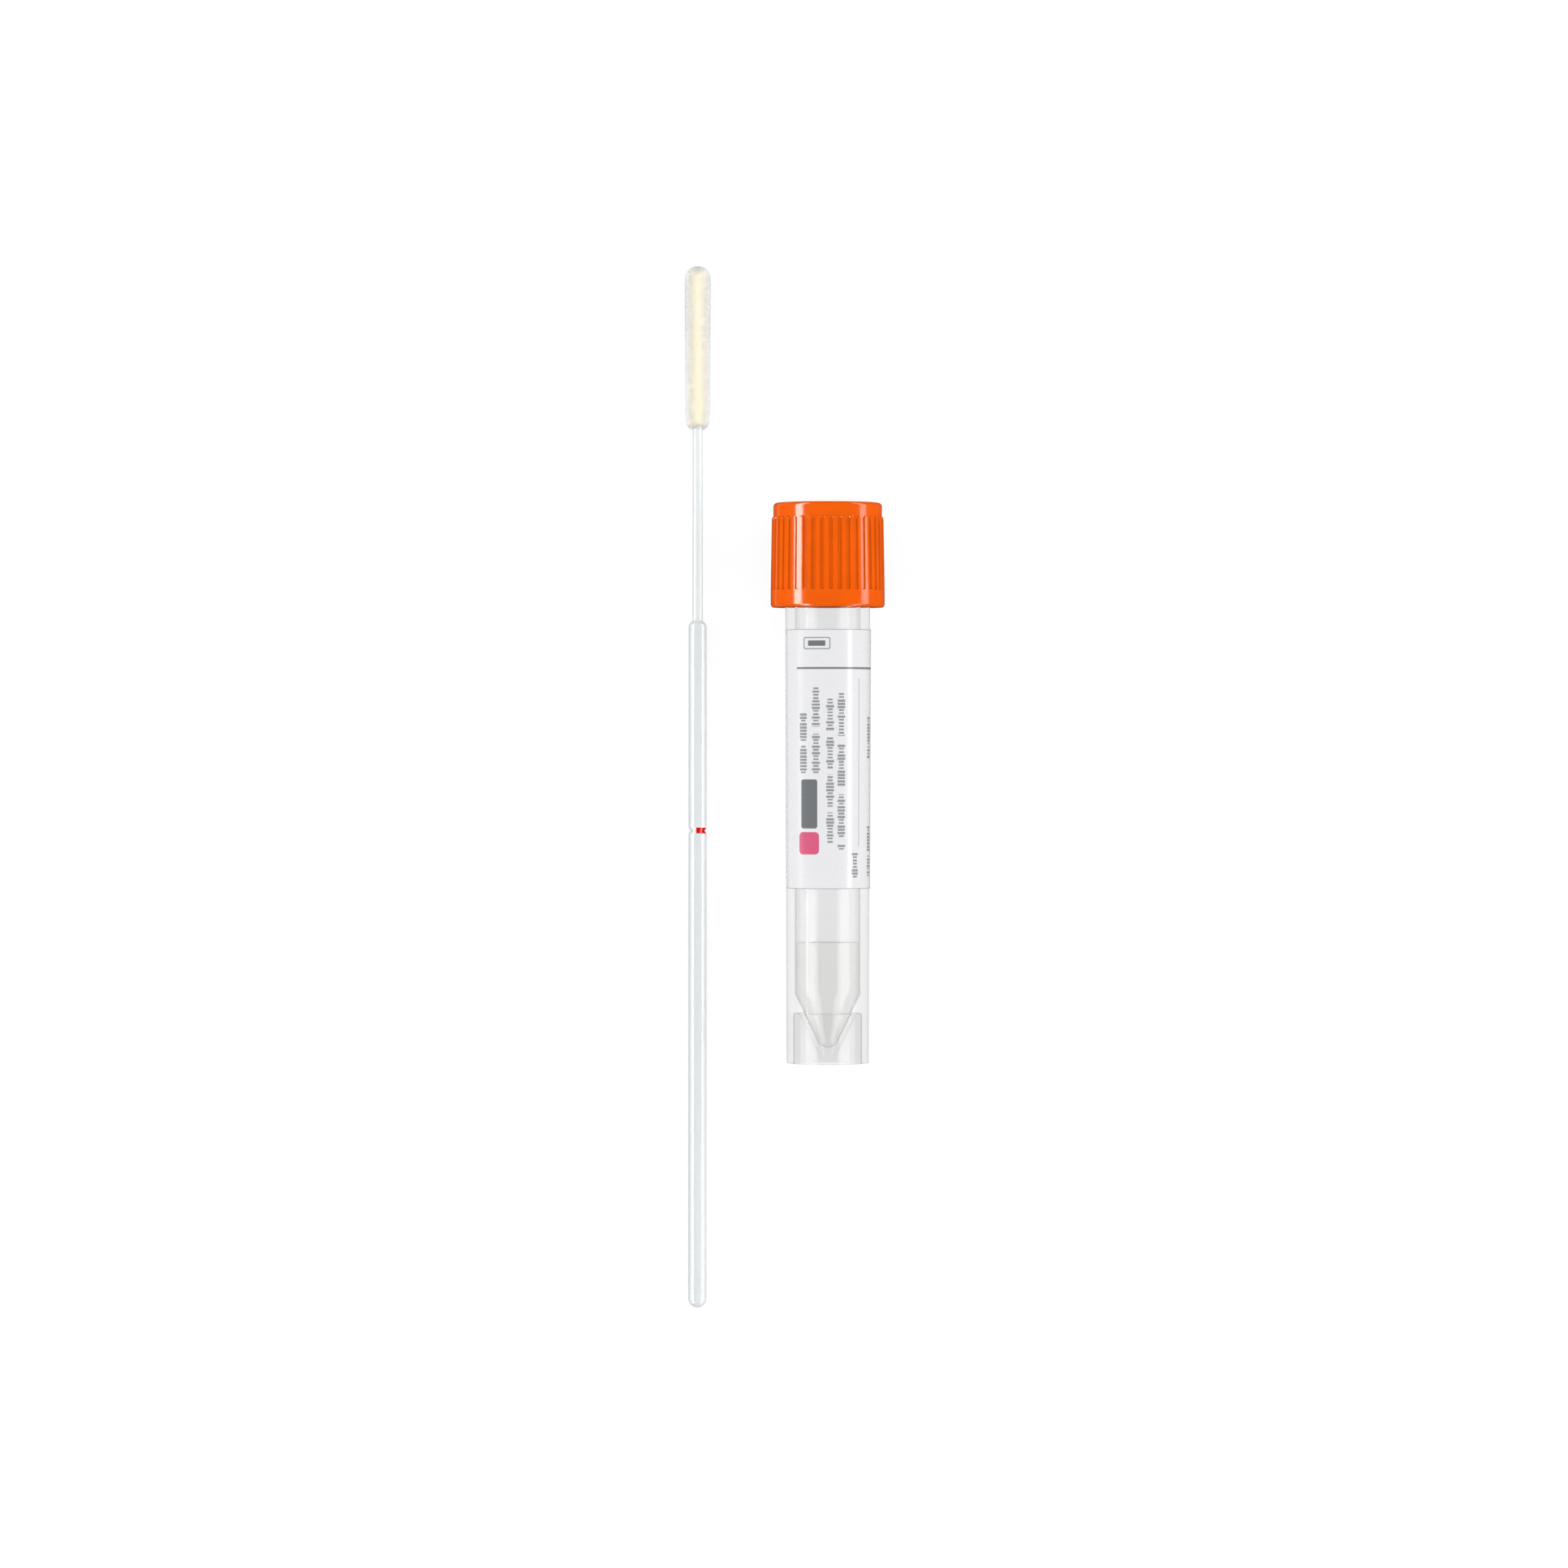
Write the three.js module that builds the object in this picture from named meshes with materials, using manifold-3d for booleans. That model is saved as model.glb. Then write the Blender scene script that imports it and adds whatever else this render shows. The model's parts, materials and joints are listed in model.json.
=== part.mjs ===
// A specimen swab tube set: a clear self-standing screw-cap tube with transport medium in its
// conical end, and the flocked breakpoint swab that goes with it. The two lie side by side on a
// flat surface, axes along +Y, as they come to rest. Lengths are in millimetres and +Z is up.
//
// Needs the npm packages three and manifold-3d.

import * as THREE from "three";
import { mergeVertices } from "three/addons/utils/BufferGeometryUtils.js";
import Module from "manifold-3d";

const wasm = await Module();
wasm.setup();

const FULL_TURN = 2 * Math.PI;

// ---------------------------------------------------------------------------------------------
// Driving dimensions. Heights in the tube are measured along its axis from the plane of its foot,
// and heights in the swab along its axis from the rounded end of its handle.
// ---------------------------------------------------------------------------------------------

// Tube: one clear moulding
const boreRadius = 4.5;
const bodyWall = 1.55; // wall just under the cap
const bodyTaper = 0.2; // how much thinner in radius the outside is at the foot
const bodyHeight = 66.2; // foot to the shoulder under the cap
const neckHeight = 11.4; // shoulder to mouth
const neckWall = 0.7;
const mouthRound = 0.25;
const footRound = 0.3;
const skirtWall = 1.1;
const skirtDepth = 7.2; // depth of the hollow under the cone
const coneTopHeight = 9.9; // where the bore starts to narrow
const coneWall = 0.8;
const coneTipHeight = 0.95; // the cone's flat end stays this far above the foot
const wellHeight = 2.35; // lowest point of the bore
const wellRound = 1.5;

// Screw thread, shared by the neck and the cap
const threadPitch = 3;
const threadStarts = 2;
const threadDepth = 0.55;
const threadRootWidth = 1.2;
const threadCrestWidth = 0.6;
const threadClearance = 0.2; // radial, crest to root
const threadFlankGap = 0.15; // axial, between the loaded flanks
const neckThreadStart = 2.2; // above the shoulder
const neckThreadRise = 6.8; // from one end of a ridge to the other
const threadSink = 0.25; // how deep a ridge reaches into the wall that carries it

// Cap: one opaque moulding
const capOverlap = 0.95; // how far it reaches below the tube's shoulder
const capRoof = 1.3;
const capWall = 1.75; // cavity to the floor of the grip grooves
const capDraft = 0.17; // how much wider in radius the grip is at the bottom
const gripDepth = 0.29;
const gripCount = 40;
const gripTurn = -1.5; // degrees that one rib lies from the front
const grooveWidth = 0.62;
const grooveStart = 2.55; // smooth band under the grooves, with the lip
const topBand = 1.85; // smooth band over the ribs
const shoulderHeight = 0.45; // slope from the ribs to the top band
const lipHeight = 0.6;
const lipInset = 0.8;
const capEdgeRound = 0.55;
const shoulderClearance = 0.35; // between the cap's mouth and the tube's shoulder
const counterboreDepth = 1.3;

// Catch for the broken swab, moulded inside the cap
const catchWall = 1.35;
const catchLength = 5;
const catchDepth = 4.5;
const catchGrip = 0.05; // clearance on the swab's handle
const catchFunnel = 0.55; // widening at its mouth
const catchFunnelDepth = 1.6;

// Sealing ring between the tube's mouth and the cap's roof
const ringThickness = 1.1;
const ringGap = 0.1; // free gap on each face
const ringBoreClearance = 0.35; // to the catch
const ringRimClearance = 0.3; // to the cap's wall

// Transport medium
const mediumHeight = 17.3;
const mediumGap = 0.3;

// Label: a thin film round the body
const labelHeight = 37;
const labelToCap = 3.2; // bare tube left between the label and the cap
const labelThickness = 0.1;
const labelGap = 0.05;
const labelFrom = -78; // degrees from the front, towards +X
const labelTo = 210;

// Swab
const swabLength = 150;
const handleRadius = 1.28;
const breakToTip = 81.5; // middle of the breakpoint to the end of the tip
const breakWidth = 0.85;
const breakDepth = 0.28;
const neckToTip = 52.2; // where the thin neck meets its shoulder, to the end of the tip
const shaftShoulder = 0.9;
const neckBaseRadius = 0.73;
const neckTopRadius = 0.66;
const headCover = 1.3; // flock over the end of the shaft
const tipLength = 23.3;
const tipRadius = 1.9;
const tipTaper = 0.1; // how much thinner in radius it is at its lower end
const tipWidest = 7; // from the end of the tip
const tipDomeHeight = 1.75;
const tipDomeNarrowing = 0.03; // radius lost between the widest place and the dome
const tipBaseRound = 0.75;
const tipBaseRoundHeight = 1.7;
const tipGap = 0.25; // between the flocked sleeve and the shaft

// How the two lie
const axisSpacing = 18.7; // swab axis to tube axis
const footToHandle = 35.1; // tube foot, measured from the end of the handle

// Fineness of the round shapes; multiples of four put a vertex at the lowest point
const tubeSides = 48;
const capSides = 80;
const swabSides = 24;
const threadSteps = 28;

// ---------------------------------------------------------------------------------------------
// Dimensions that follow
// ---------------------------------------------------------------------------------------------

const bodyTopRadius = boreRadius + bodyWall;
const footRadius = bodyTopRadius - bodyTaper;
const neckRadius = boreRadius + neckWall;
const mouthHeight = bodyHeight + neckHeight;
const threadLead = threadPitch * threadStarts;

const cavityRadius = neckRadius + threadDepth + threadClearance;
const grooveFloor = cavityRadius + capWall;
const gripTopRadius = grooveFloor + gripDepth;
const capRadius = gripTopRadius + capDraft;
const capBottom = bodyHeight - capOverlap;
const capCeiling = mouthHeight + ringThickness + 2 * ringGap;
const capTop = capCeiling + capRoof;
const labelBottom = capBottom - labelToCap - labelHeight;

const catchBore = handleRadius + catchGrip;
const catchRadius = catchBore + catchWall;

const breakHeight = swabLength - breakToTip;
const neckBaseHeight = swabLength - neckToTip;
const tipBaseHeight = swabLength - tipLength;
const tipWidestHeight = swabLength - tipWidest;
const tipBaseRadius = tipRadius - tipTaper;
const tipBore = neckTopRadius + tipGap;
const tipBaseCorner = Math.min(tipBaseRound, 0.9 * (tipBaseRadius - tipBore)); // limited by the wall

// Tilts that bring two rings of unlike radius down to one flat surface
const lipTop = capBottom + lipHeight;
const tubeTilt = Math.atan2(capRadius - footRadius, lipTop - footRound);
const swabTilt = Math.atan2(tipRadius - handleRadius, tipWidestHeight - handleRadius);

const spanX = tipRadius + axisSpacing + capRadius;
const swabX = tipRadius - spanX / 2;
const tubeX = swabX + axisSpacing;
const handleEndY = -swabLength / 2;

// ---------------------------------------------------------------------------------------------
// Solids
// ---------------------------------------------------------------------------------------------

/** A closed mesh as a solid: shared vertices merged, and flattened triangles left out. */
function solidOf(geometry) {
  const bare = geometry.clone();
  bare.deleteAttribute("normal");
  bare.deleteAttribute("uv");
  const merged = mergeVertices(bare);
  const corners = merged.index.array;
  const kept = [];
  for (let i = 0; i < corners.length; i += 3) {
    const [a, b, c] = corners.slice(i, i + 3);
    if (a !== b && b !== c && c !== a) kept.push(a, b, c);
  }
  const mesh = new wasm.Mesh({
    numProp: 3,
    vertProperties: new Float32Array(merged.attributes.position.array),
    triVerts: new Uint32Array(kept),
  });
  return new wasm.Manifold(mesh);
}

function geometryOf(solid) {
  const { vertProperties, triVerts } = solid.getMesh();
  const geometry = new THREE.BufferGeometry();
  geometry.setAttribute("position", new THREE.BufferAttribute(vertProperties, 3));
  geometry.setIndex(new THREE.BufferAttribute(triVerts, 1));
  geometry.computeVertexNormals();
  return geometry;
}

/** A profile of [radius, height] pairs, from low to high on the outside, turned round +Z. */
function turned(profile, sides) {
  const points = profile.map(([radius, height]) => new THREE.Vector2(radius, height));
  const geometry = new THREE.LatheGeometry(points, sides);
  geometry.rotateX(Math.PI / 2);
  return solidOf(geometry);
}

/** Points of an arc in a profile; angles in degrees, from +radius towards +height. */
function arc(centreRadius, centreHeight, size, from, to, steps, sizeUp = size) {
  return Array.from({ length: steps + 1 }, (_, i) => {
    const angle = THREE.MathUtils.degToRad(from + ((to - from) * i) / steps);
    return [centreRadius + size * Math.cos(angle), centreHeight + sizeUp * Math.sin(angle)];
  });
}

/** A ridge that climbs along a helix; its section is a trapezium, shallower at both ends. */
function helicalRidge({ wallRadius, crestRadius, bottom, rise, startTurn }) {
  const turns = rise / threadLead;
  const steps = Math.ceil(turns * threadSteps);
  const outward = Math.sign(crestRadius - wallRadius);
  const rootRadius = wallRadius - outward * threadSink;
  const positions = [];
  for (let i = 0; i <= steps; i += 1) {
    const along = i / steps;
    const angle = (startTurn + along * turns) * FULL_TURN;
    const height = bottom + along * rise;
    const crest = wallRadius + (crestRadius - wallRadius) * ridgeShare(along);
    const section = [
      [rootRadius, height - threadRootWidth / 2],
      [crest, height - threadCrestWidth / 2],
      [crest, height + threadCrestWidth / 2],
      [rootRadius, height + threadRootWidth / 2],
    ];
    for (const [r, h] of section) positions.push(r * Math.cos(angle), r * Math.sin(angle), h);
  }
  const geometry = new THREE.BufferGeometry();
  geometry.setAttribute("position", new THREE.Float32BufferAttribute(positions, 3));
  geometry.setIndex(ridgeFaces(steps, outward > 0));
  return solidOf(geometry);
}

/** How much of its full depth a ridge has, at a share of the way along it. */
function ridgeShare(along) {
  const runOut = 0.08;
  const least = 0.3;
  return THREE.MathUtils.clamp(Math.min(along, 1 - along) / runOut, least, 1);
}

/** Triangles between sections of four points, with both ends closed. */
function ridgeFaces(steps, pointsOut) {
  const faces = [];
  const quad = (a, b, c, d) => faces.push(...(pointsOut ? [a, b, c, a, c, d] : [a, c, b, a, d, c]));
  for (let i = 0; i < steps; i += 1) {
    const here = 4 * i;
    const next = here + 4;
    for (let k = 0; k < 4; k += 1) {
      const other = (k + 1) % 4;
      quad(here + k, next + k, next + other, here + other);
    }
  }
  const last = 4 * steps;
  quad(0, 1, 2, 3);
  quad(last + 3, last + 2, last + 1, last);
  return faces;
}

/** The same ridge once for each start of the thread. */
function threadRidges(wallRadius, crestRadius, bottom, rise) {
  return Array.from({ length: threadStarts }, (_, start) =>
    helicalRidge({
      wallRadius,
      crestRadius,
      bottom,
      rise,
      startTurn: start / threadStarts + bottom / threadLead,
    }),
  );
}

// ---------------------------------------------------------------------------------------------
// Tube and what it holds
// ---------------------------------------------------------------------------------------------

/** The tube's outside radius at a height, with its taper. */
function bodyRadiusAt(height) {
  return footRadius + (bodyTaper * height) / bodyHeight;
}

const wellCentre = wellHeight + wellRound;
const coneHalfAngle =
  Math.atan2(boreRadius, coneTopHeight - wellCentre) -
  Math.asin(wellRound / Math.hypot(boreRadius, coneTopHeight - wellCentre));

/** Height on the bore's cone where it has a radius, at a distance inside (or outside) its wall. */
function coneHeightAt(radius, inside) {
  const slope = Math.tan(coneHalfAngle);
  return coneTopHeight - (boreRadius - inside / Math.cos(coneHalfAngle) - radius) / slope;
}

/** The bore's closed end as profile points, from the axis up to the wall, kept `inside` it. */
function wellProfile(inside) {
  const angle = THREE.MathUtils.radToDeg(coneHalfAngle);
  const radius = boreRadius - inside;
  return [...arc(0, wellCentre, wellRound - inside, -90, -angle, 4), [radius, coneHeightAt(radius, inside)]];
}

/** Radius of the cone's outside at a height in the hollow foot. */
function coneOutsideAt(height) {
  const drop = (coneTopHeight - height) * Math.tan(coneHalfAngle);
  return boreRadius - drop + coneWall / Math.cos(coneHalfAngle);
}

function makeTube() {
  const skirtRadius = footRadius - skirtWall;
  const outside = [
    [0, coneTipHeight],
    [coneOutsideAt(coneTipHeight), coneTipHeight],
    [coneOutsideAt(skirtDepth), skirtDepth],
    [skirtRadius, skirtDepth],
    [skirtRadius, 0],
    [footRadius - footRound, 0],
    ...arc(footRadius - footRound, footRound, footRound, -90, 0, 3).slice(1),
    [bodyTopRadius, bodyHeight - (bodyWall - neckWall) / 2],
    [neckRadius, bodyHeight + (bodyWall - neckWall) / 2],
  ];
  const lipCentre = mouthHeight - mouthRound;
  const mouth = [
    ...arc(neckRadius - mouthRound, lipCentre, mouthRound, 0, 90, 3),
    ...arc(boreRadius + mouthRound, lipCentre, mouthRound, 90, 180, 3),
  ];
  const body = turned([...outside, ...mouth, ...wellProfile(0).reverse()], tubeSides);
  const ridges = threadRidges(
    neckRadius,
    neckRadius + threadDepth,
    bodyHeight + neckThreadStart,
    neckThreadRise,
  );
  return ridges.reduce((solid, ridge) => solid.add(ridge), body);
}

function makeMedium() {
  const surface = [
    [boreRadius - mediumGap, mediumHeight],
    [0, mediumHeight],
  ];
  return turned([...wellProfile(mediumGap), ...surface], tubeSides);
}

/** A wedge from the axis outward, between two angles from the front, taller than the label. */
function sector(from, to, radius) {
  const shape = new THREE.Shape();
  const steps = 6;
  shape.moveTo(0, 0);
  for (let i = 0; i <= steps; i += 1) {
    const angle = THREE.MathUtils.degToRad(from + ((to - from) * i) / steps);
    shape.lineTo(radius * Math.sin(angle), -radius * Math.cos(angle));
  }
  shape.closePath();
  const geometry = new THREE.ExtrudeGeometry(shape, { depth: 2 * labelHeight, bevelEnabled: false });
  geometry.translate(0, 0, labelBottom - labelHeight / 2);
  return solidOf(geometry);
}

function makeLabel() {
  const top = labelBottom + labelHeight;
  const innerLow = bodyRadiusAt(labelBottom) + labelGap;
  const innerHigh = bodyRadiusAt(top) + labelGap;
  const band = turned(
    [
      [innerLow, labelBottom],
      [innerLow + labelThickness, labelBottom],
      [innerHigh + labelThickness, top],
      [innerHigh, top],
      [innerLow, labelBottom],
    ],
    tubeSides,
  );
  return band.subtract(sector(labelTo, 360 + labelFrom, 2 * bodyTopRadius));
}

// ---------------------------------------------------------------------------------------------
// Cap and sealing ring
// ---------------------------------------------------------------------------------------------

const grooveBottom = capBottom + grooveStart;
const ribTop = capTop - topBand - shoulderHeight;

function capOutside() {
  const lip = [
    [0, capBottom],
    [capRadius - lipInset, capBottom],
    [capRadius, lipTop],
  ];
  const grip = [
    [capRadius, grooveBottom],
    [gripTopRadius, ribTop],
    [grooveFloor, ribTop + shoulderHeight],
  ];
  const edge = arc(grooveFloor - capEdgeRound, capTop - capEdgeRound, capEdgeRound, 0, 90, 4);
  return turned([...lip, ...grip, ...edge, [0, capTop]], capSides);
}

/** The cap's hollow: the threaded cavity with the catch left standing in its middle. */
function capHollow() {
  const mouthRadius = Math.max(bodyTopRadius, cavityRadius) + shoulderClearance;
  const below = capBottom - 1;
  const counterTop = capBottom + counterboreDepth;
  const catchMouth = capCeiling - catchLength;
  return turned(
    [
      [0, below],
      [mouthRadius, below],
      [mouthRadius, counterTop],
      [cavityRadius, counterTop + mouthRadius - cavityRadius],
      [cavityRadius, capCeiling],
      [catchRadius, capCeiling],
      [catchRadius, catchMouth],
      [catchBore + catchFunnel, catchMouth],
      [catchBore, catchMouth + catchFunnelDepth],
      [catchBore, catchMouth + catchDepth],
      [0, catchMouth + catchDepth],
    ],
    tubeSides,
  );
}

/** One groove of the grip: a block whose inner face follows the drafted floor. */
function gripGroove(index) {
  const height = capTop - grooveBottom;
  const reach = 4 * gripDepth;
  const slant = Math.atan2(capDraft, ribTop - grooveBottom);
  const block = new THREE.BoxGeometry(reach, grooveWidth, height);
  block.translate(reach / 2, 0, height / 2);
  block.rotateY(-slant);
  block.translate(capRadius - gripDepth, 0, grooveBottom);
  const front = -90 + gripTurn;
  const turn = front + ((index + 0.5) * 360) / gripCount;
  block.rotateZ(THREE.MathUtils.degToRad(turn));
  return solidOf(block);
}

/** The cap's ridges lie under the neck's, so that turning the cap home pulls it down. */
function capThread() {
  const midWidth = (threadRootWidth + threadCrestWidth) / 2;
  const below = midWidth + threadFlankGap;
  const bottom = bodyHeight + neckThreadStart;
  return threadRidges(cavityRadius, cavityRadius - threadDepth, bottom, neckThreadRise).map((ridge) =>
    ridge.translate([0, 0, -below]),
  );
}

function makeCap() {
  const shell = capOutside().subtract(capHollow());
  const threaded = capThread().reduce((solid, ridge) => solid.add(ridge), shell);
  let cap = threaded;
  for (let i = 0; i < gripCount; i += 1) cap = cap.subtract(gripGroove(i));
  return cap;
}

function makeSealingRing() {
  const bottom = mouthHeight + ringGap;
  const top = bottom + ringThickness;
  const inner = catchRadius + ringBoreClearance;
  const outer = cavityRadius - ringRimClearance;
  return turned(
    [
      [inner, bottom],
      [outer, bottom],
      [outer, top],
      [inner, top],
      [inner, bottom],
    ],
    tubeSides,
  );
}

// ---------------------------------------------------------------------------------------------
// Swab
// ---------------------------------------------------------------------------------------------

function makeShaft() {
  const headTop = swabLength - headCover;
  const neckBottom = neckBaseHeight + shaftShoulder;
  return turned(
    [
      ...arc(0, handleRadius, handleRadius, -90, 0, 5),
      [handleRadius, breakHeight - breakWidth / 2],
      [handleRadius - breakDepth, breakHeight],
      [handleRadius, breakHeight + breakWidth / 2],
      [handleRadius, neckBaseHeight],
      [(handleRadius + neckBaseRadius) / 2, neckBaseHeight + shaftShoulder / 2],
      [neckBaseRadius, neckBottom],
      [neckTopRadius, tipBaseHeight],
      ...arc(0, headTop - neckTopRadius, neckTopRadius, 0, 90, 3),
    ],
    swabSides,
  );
}

/** The flocked sleeve, closed over the end of the shaft. */
function makeFlockedTip() {
  const holeTop = swabLength - headCover + tipGap;
  const baseCentre = tipBaseHeight + tipBaseRoundHeight;
  const domeCentre = swabLength - tipDomeHeight;
  return turned(
    [
      [0, holeTop],
      [tipBore, holeTop - tipBore / 2],
      [tipBore, tipBaseHeight],
      ...arc(tipBaseRadius - tipBaseCorner, baseCentre, tipBaseCorner, -90, 0, 3, tipBaseRoundHeight),
      [tipRadius, tipWidestHeight],
      ...arc(0, domeCentre, tipRadius - tipDomeNarrowing, 0, 90, 5, tipDomeHeight),
    ],
    swabSides,
  );
}

// ---------------------------------------------------------------------------------------------
// The set
// ---------------------------------------------------------------------------------------------

function piece(name, solid, color, roughness, opacity = 1) {
  const material = new THREE.MeshStandardMaterial({ color, roughness, metalness: 0 });
  material.opacity = opacity;
  material.transparent = opacity < 1;
  const mesh = new THREE.Mesh(geometryOf(solid), material);
  mesh.name = name;
  return mesh;
}

/** Lays a group whose own axis is +Z along +Y, its far end raised by the tilt. */
function lay(group, x, y, tilt, contactRadius, contactHeight) {
  group.rotation.x = tilt - Math.PI / 2;
  group.position.set(x, y, contactRadius * Math.cos(tilt) - contactHeight * Math.sin(tilt));
  return group;
}

function makeTubeGroup() {
  const group = new THREE.Group();
  group.add(
    piece("tube", makeTube(), 0xeef0f0, 0.08, 0.35),
    piece("transport_medium", makeMedium(), 0xe3e4e3, 0.05, 0.5),
    piece("label", makeLabel(), 0xe9e9eb, 0.35),
    piece("sealing_ring", makeSealingRing(), 0xf2f2ee, 0.6),
    piece("screw_cap", makeCap(), 0xf8620a, 0.32),
  );
  return lay(group, tubeX, handleEndY + footToHandle, tubeTilt, footRadius, footRound);
}

function makeSwabGroup() {
  const group = new THREE.Group();
  group.add(
    piece("swab_shaft", makeShaft(), 0xeff3f3, 0.15),
    piece("flocked_tip", makeFlockedTip(), 0xfffbe4, 0.95),
  );
  return lay(group, swabX, handleEndY, swabTilt, handleRadius, handleRadius);
}

const set = new THREE.Group();
set.add(makeTubeGroup(), makeSwabGroup());

export default set;
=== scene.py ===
"""A specimen tube set: clear screw-cap tube with transport medium and label, and a flocked swab.

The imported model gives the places; this file makes the fine surfaces and the finishes round it.
Lengths are in metres. Tube heights are measured along its axis from the foot, and swab heights
along its axis from the rounded end of the handle. In both, -Y is the front, which faces up.
"""

import json
import math
from functools import partialmethod
from types import SimpleNamespace

import bpy
from bpy.props import FloatProperty, FloatVectorProperty, IntProperty, PointerProperty
from mathutils import Matrix, Vector


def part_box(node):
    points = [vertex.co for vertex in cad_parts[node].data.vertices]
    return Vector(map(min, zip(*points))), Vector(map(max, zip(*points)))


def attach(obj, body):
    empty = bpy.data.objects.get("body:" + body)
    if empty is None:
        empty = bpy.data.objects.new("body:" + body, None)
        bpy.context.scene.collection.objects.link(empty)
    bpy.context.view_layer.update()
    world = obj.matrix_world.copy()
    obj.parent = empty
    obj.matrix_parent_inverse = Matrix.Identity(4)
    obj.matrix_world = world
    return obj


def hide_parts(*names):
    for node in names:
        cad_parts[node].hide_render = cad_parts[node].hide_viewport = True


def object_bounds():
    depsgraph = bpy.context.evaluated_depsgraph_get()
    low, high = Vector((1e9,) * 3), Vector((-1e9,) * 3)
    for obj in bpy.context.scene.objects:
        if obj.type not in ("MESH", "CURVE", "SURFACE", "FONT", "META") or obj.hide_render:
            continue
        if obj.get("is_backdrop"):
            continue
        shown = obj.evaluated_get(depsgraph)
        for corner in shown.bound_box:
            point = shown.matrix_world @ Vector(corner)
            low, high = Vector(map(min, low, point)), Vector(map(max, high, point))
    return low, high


bl_info = {
    "name": "Specimen tube set",
    "version": (1, 0, 0),
    "blender": (4, 5, 0),
    "location": "3D View > Sidebar > Specimen",
    "description": "Makes a screw-cap specimen tube and its flocked swab round the packed model",
    "category": "Object",
}

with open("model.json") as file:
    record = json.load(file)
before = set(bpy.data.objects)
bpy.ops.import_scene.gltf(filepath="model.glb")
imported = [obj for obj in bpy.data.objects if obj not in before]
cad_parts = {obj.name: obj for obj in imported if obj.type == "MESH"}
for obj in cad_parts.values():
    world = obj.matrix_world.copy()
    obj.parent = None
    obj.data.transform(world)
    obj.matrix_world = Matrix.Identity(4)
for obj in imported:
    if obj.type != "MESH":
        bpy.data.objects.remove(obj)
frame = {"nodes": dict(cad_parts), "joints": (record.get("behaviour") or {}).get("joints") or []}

MM = 0.001
FULL_TURN = 2 * math.pi
TUBE_BODY = "tube_and_swab"
WHITE = (1, 1, 1, 1)
ACROSS_THE_AXIS = (1, 1, 0)

# Fineness of the meshes
TUBE_SIDES = 160
CAP_SIDES = 560
SWAB_SIDES = 72
ARC_STEPS = 6
THREAD_ROW = 0.15 * MM
RIB_ROW = 0.07 * MM
LABEL_STEPS = 150
LABEL_ROWS = 24
LABEL_CORNER_STEPS = 12

# Seeds of the random draws
SPREAD_SEED = 7
LEAN_SEED = 11
SIZE_SEED = 23

# Lengths too small to count, in one profile and between a profile and its sizes
SAME = 1e-9
NEAR = 1e-7


# --- Places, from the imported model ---


def lying(foot, axis):
    """Where a piece's own frame lies: +Z along the axis, +X across, and -Y towards the front."""
    across = Vector((1, 0, 0))
    axis = axis.normalized()
    turn = Matrix((across, axis.cross(across), axis)).transposed()
    return Matrix.Translation(foot) @ turn.to_4x4()


def measured(node, place):
    """Heights and radii of a CAD node in the frame at that place."""
    home = place.inverted()
    points = [home @ vertex.co for vertex in frame["nodes"][node].data.vertices]
    heights = [point.z for point in points]
    radii = [math.hypot(point.x, point.y) for point in points]
    return SimpleNamespace(bottom=min(heights), top=max(heights), inner=min(radii), outer=max(radii))


def tube_place():
    """The cap turns about the tube's axis, and the tube's foot is its lowest point on it."""
    turning = next(joint for joint in frame["joints"] if joint["type"] == "hinge")
    axis = Vector(turning["axis"]).normalized()
    top = Vector(turning["pos_m"])
    depth = measured("tube", lying(top, axis)).bottom
    return lying(top + depth * axis, axis)


def swab_place(widest):
    """The swab rests on the end of its handle and on the widest ring of its tip."""
    low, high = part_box("swab_shaft")
    handle = (high.x - low.x) / 2
    tip_low, tip_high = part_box("flocked_tip")
    tip = (tip_high.x - tip_low.x) / 2
    middle = (low.x + high.x) / 2
    rest = Vector((middle, low.y + handle, handle))
    axis = (Vector((middle, tip_high.y - widest, tip)) - rest).normalized()
    return lying(rest - handle * axis, axis)


# --- Meshes ---


def arc(radius, height, size, start, end, size_up=None, steps=3 * ARC_STEPS):
    """Points of an arc in a profile; angles in degrees, from +radius towards +height."""
    size_up = size if size_up is None else size_up
    angles = [math.radians(start + (end - start) * i / steps) for i in range(steps + 1)]
    return [(radius + size * math.cos(a), height + size_up * math.sin(a)) for a in angles]


def rounded(corner, before, after, size):
    """The points that round one corner of an outline."""
    nearly_straight = math.radians(89.5)
    share_of_side = 0.48
    small = 0.2 * MM
    there = Vector(corner)
    back = Vector(before) - there
    on = Vector(after) - there
    half = back.angle(on) / 2
    if size <= 0 or half > nearly_straight:
        return [corner]
    reach = min(size / math.tan(half), share_of_side * back.length, share_of_side * on.length)
    size = reach * math.tan(half)
    start = there + reach * back.normalized()
    end = there + reach * on.normalized()
    middle = there + (back.normalized() + on.normalized()).normalized() * size / math.sin(half)
    turn = (start - middle).angle_signed(end - middle)
    steps = ARC_STEPS if size > small else ARC_STEPS // 2
    points = []
    for i in range(steps + 1):
        spoke = start - middle
        spoke.rotate(Matrix.Rotation(-turn * i / steps, 2))
        points.append(tuple(middle + spoke))
    return points


def outline(*corners):
    """A profile through corners of (radius, height, rounding)."""
    places = [corner[:2] for corner in corners]
    points = [places[0]]
    for before, corner, after in zip(places, corners[1:], places[2:]):
        points += rounded(corner[:2], before, after, corner[2])
    return points + [places[-1]]


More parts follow.
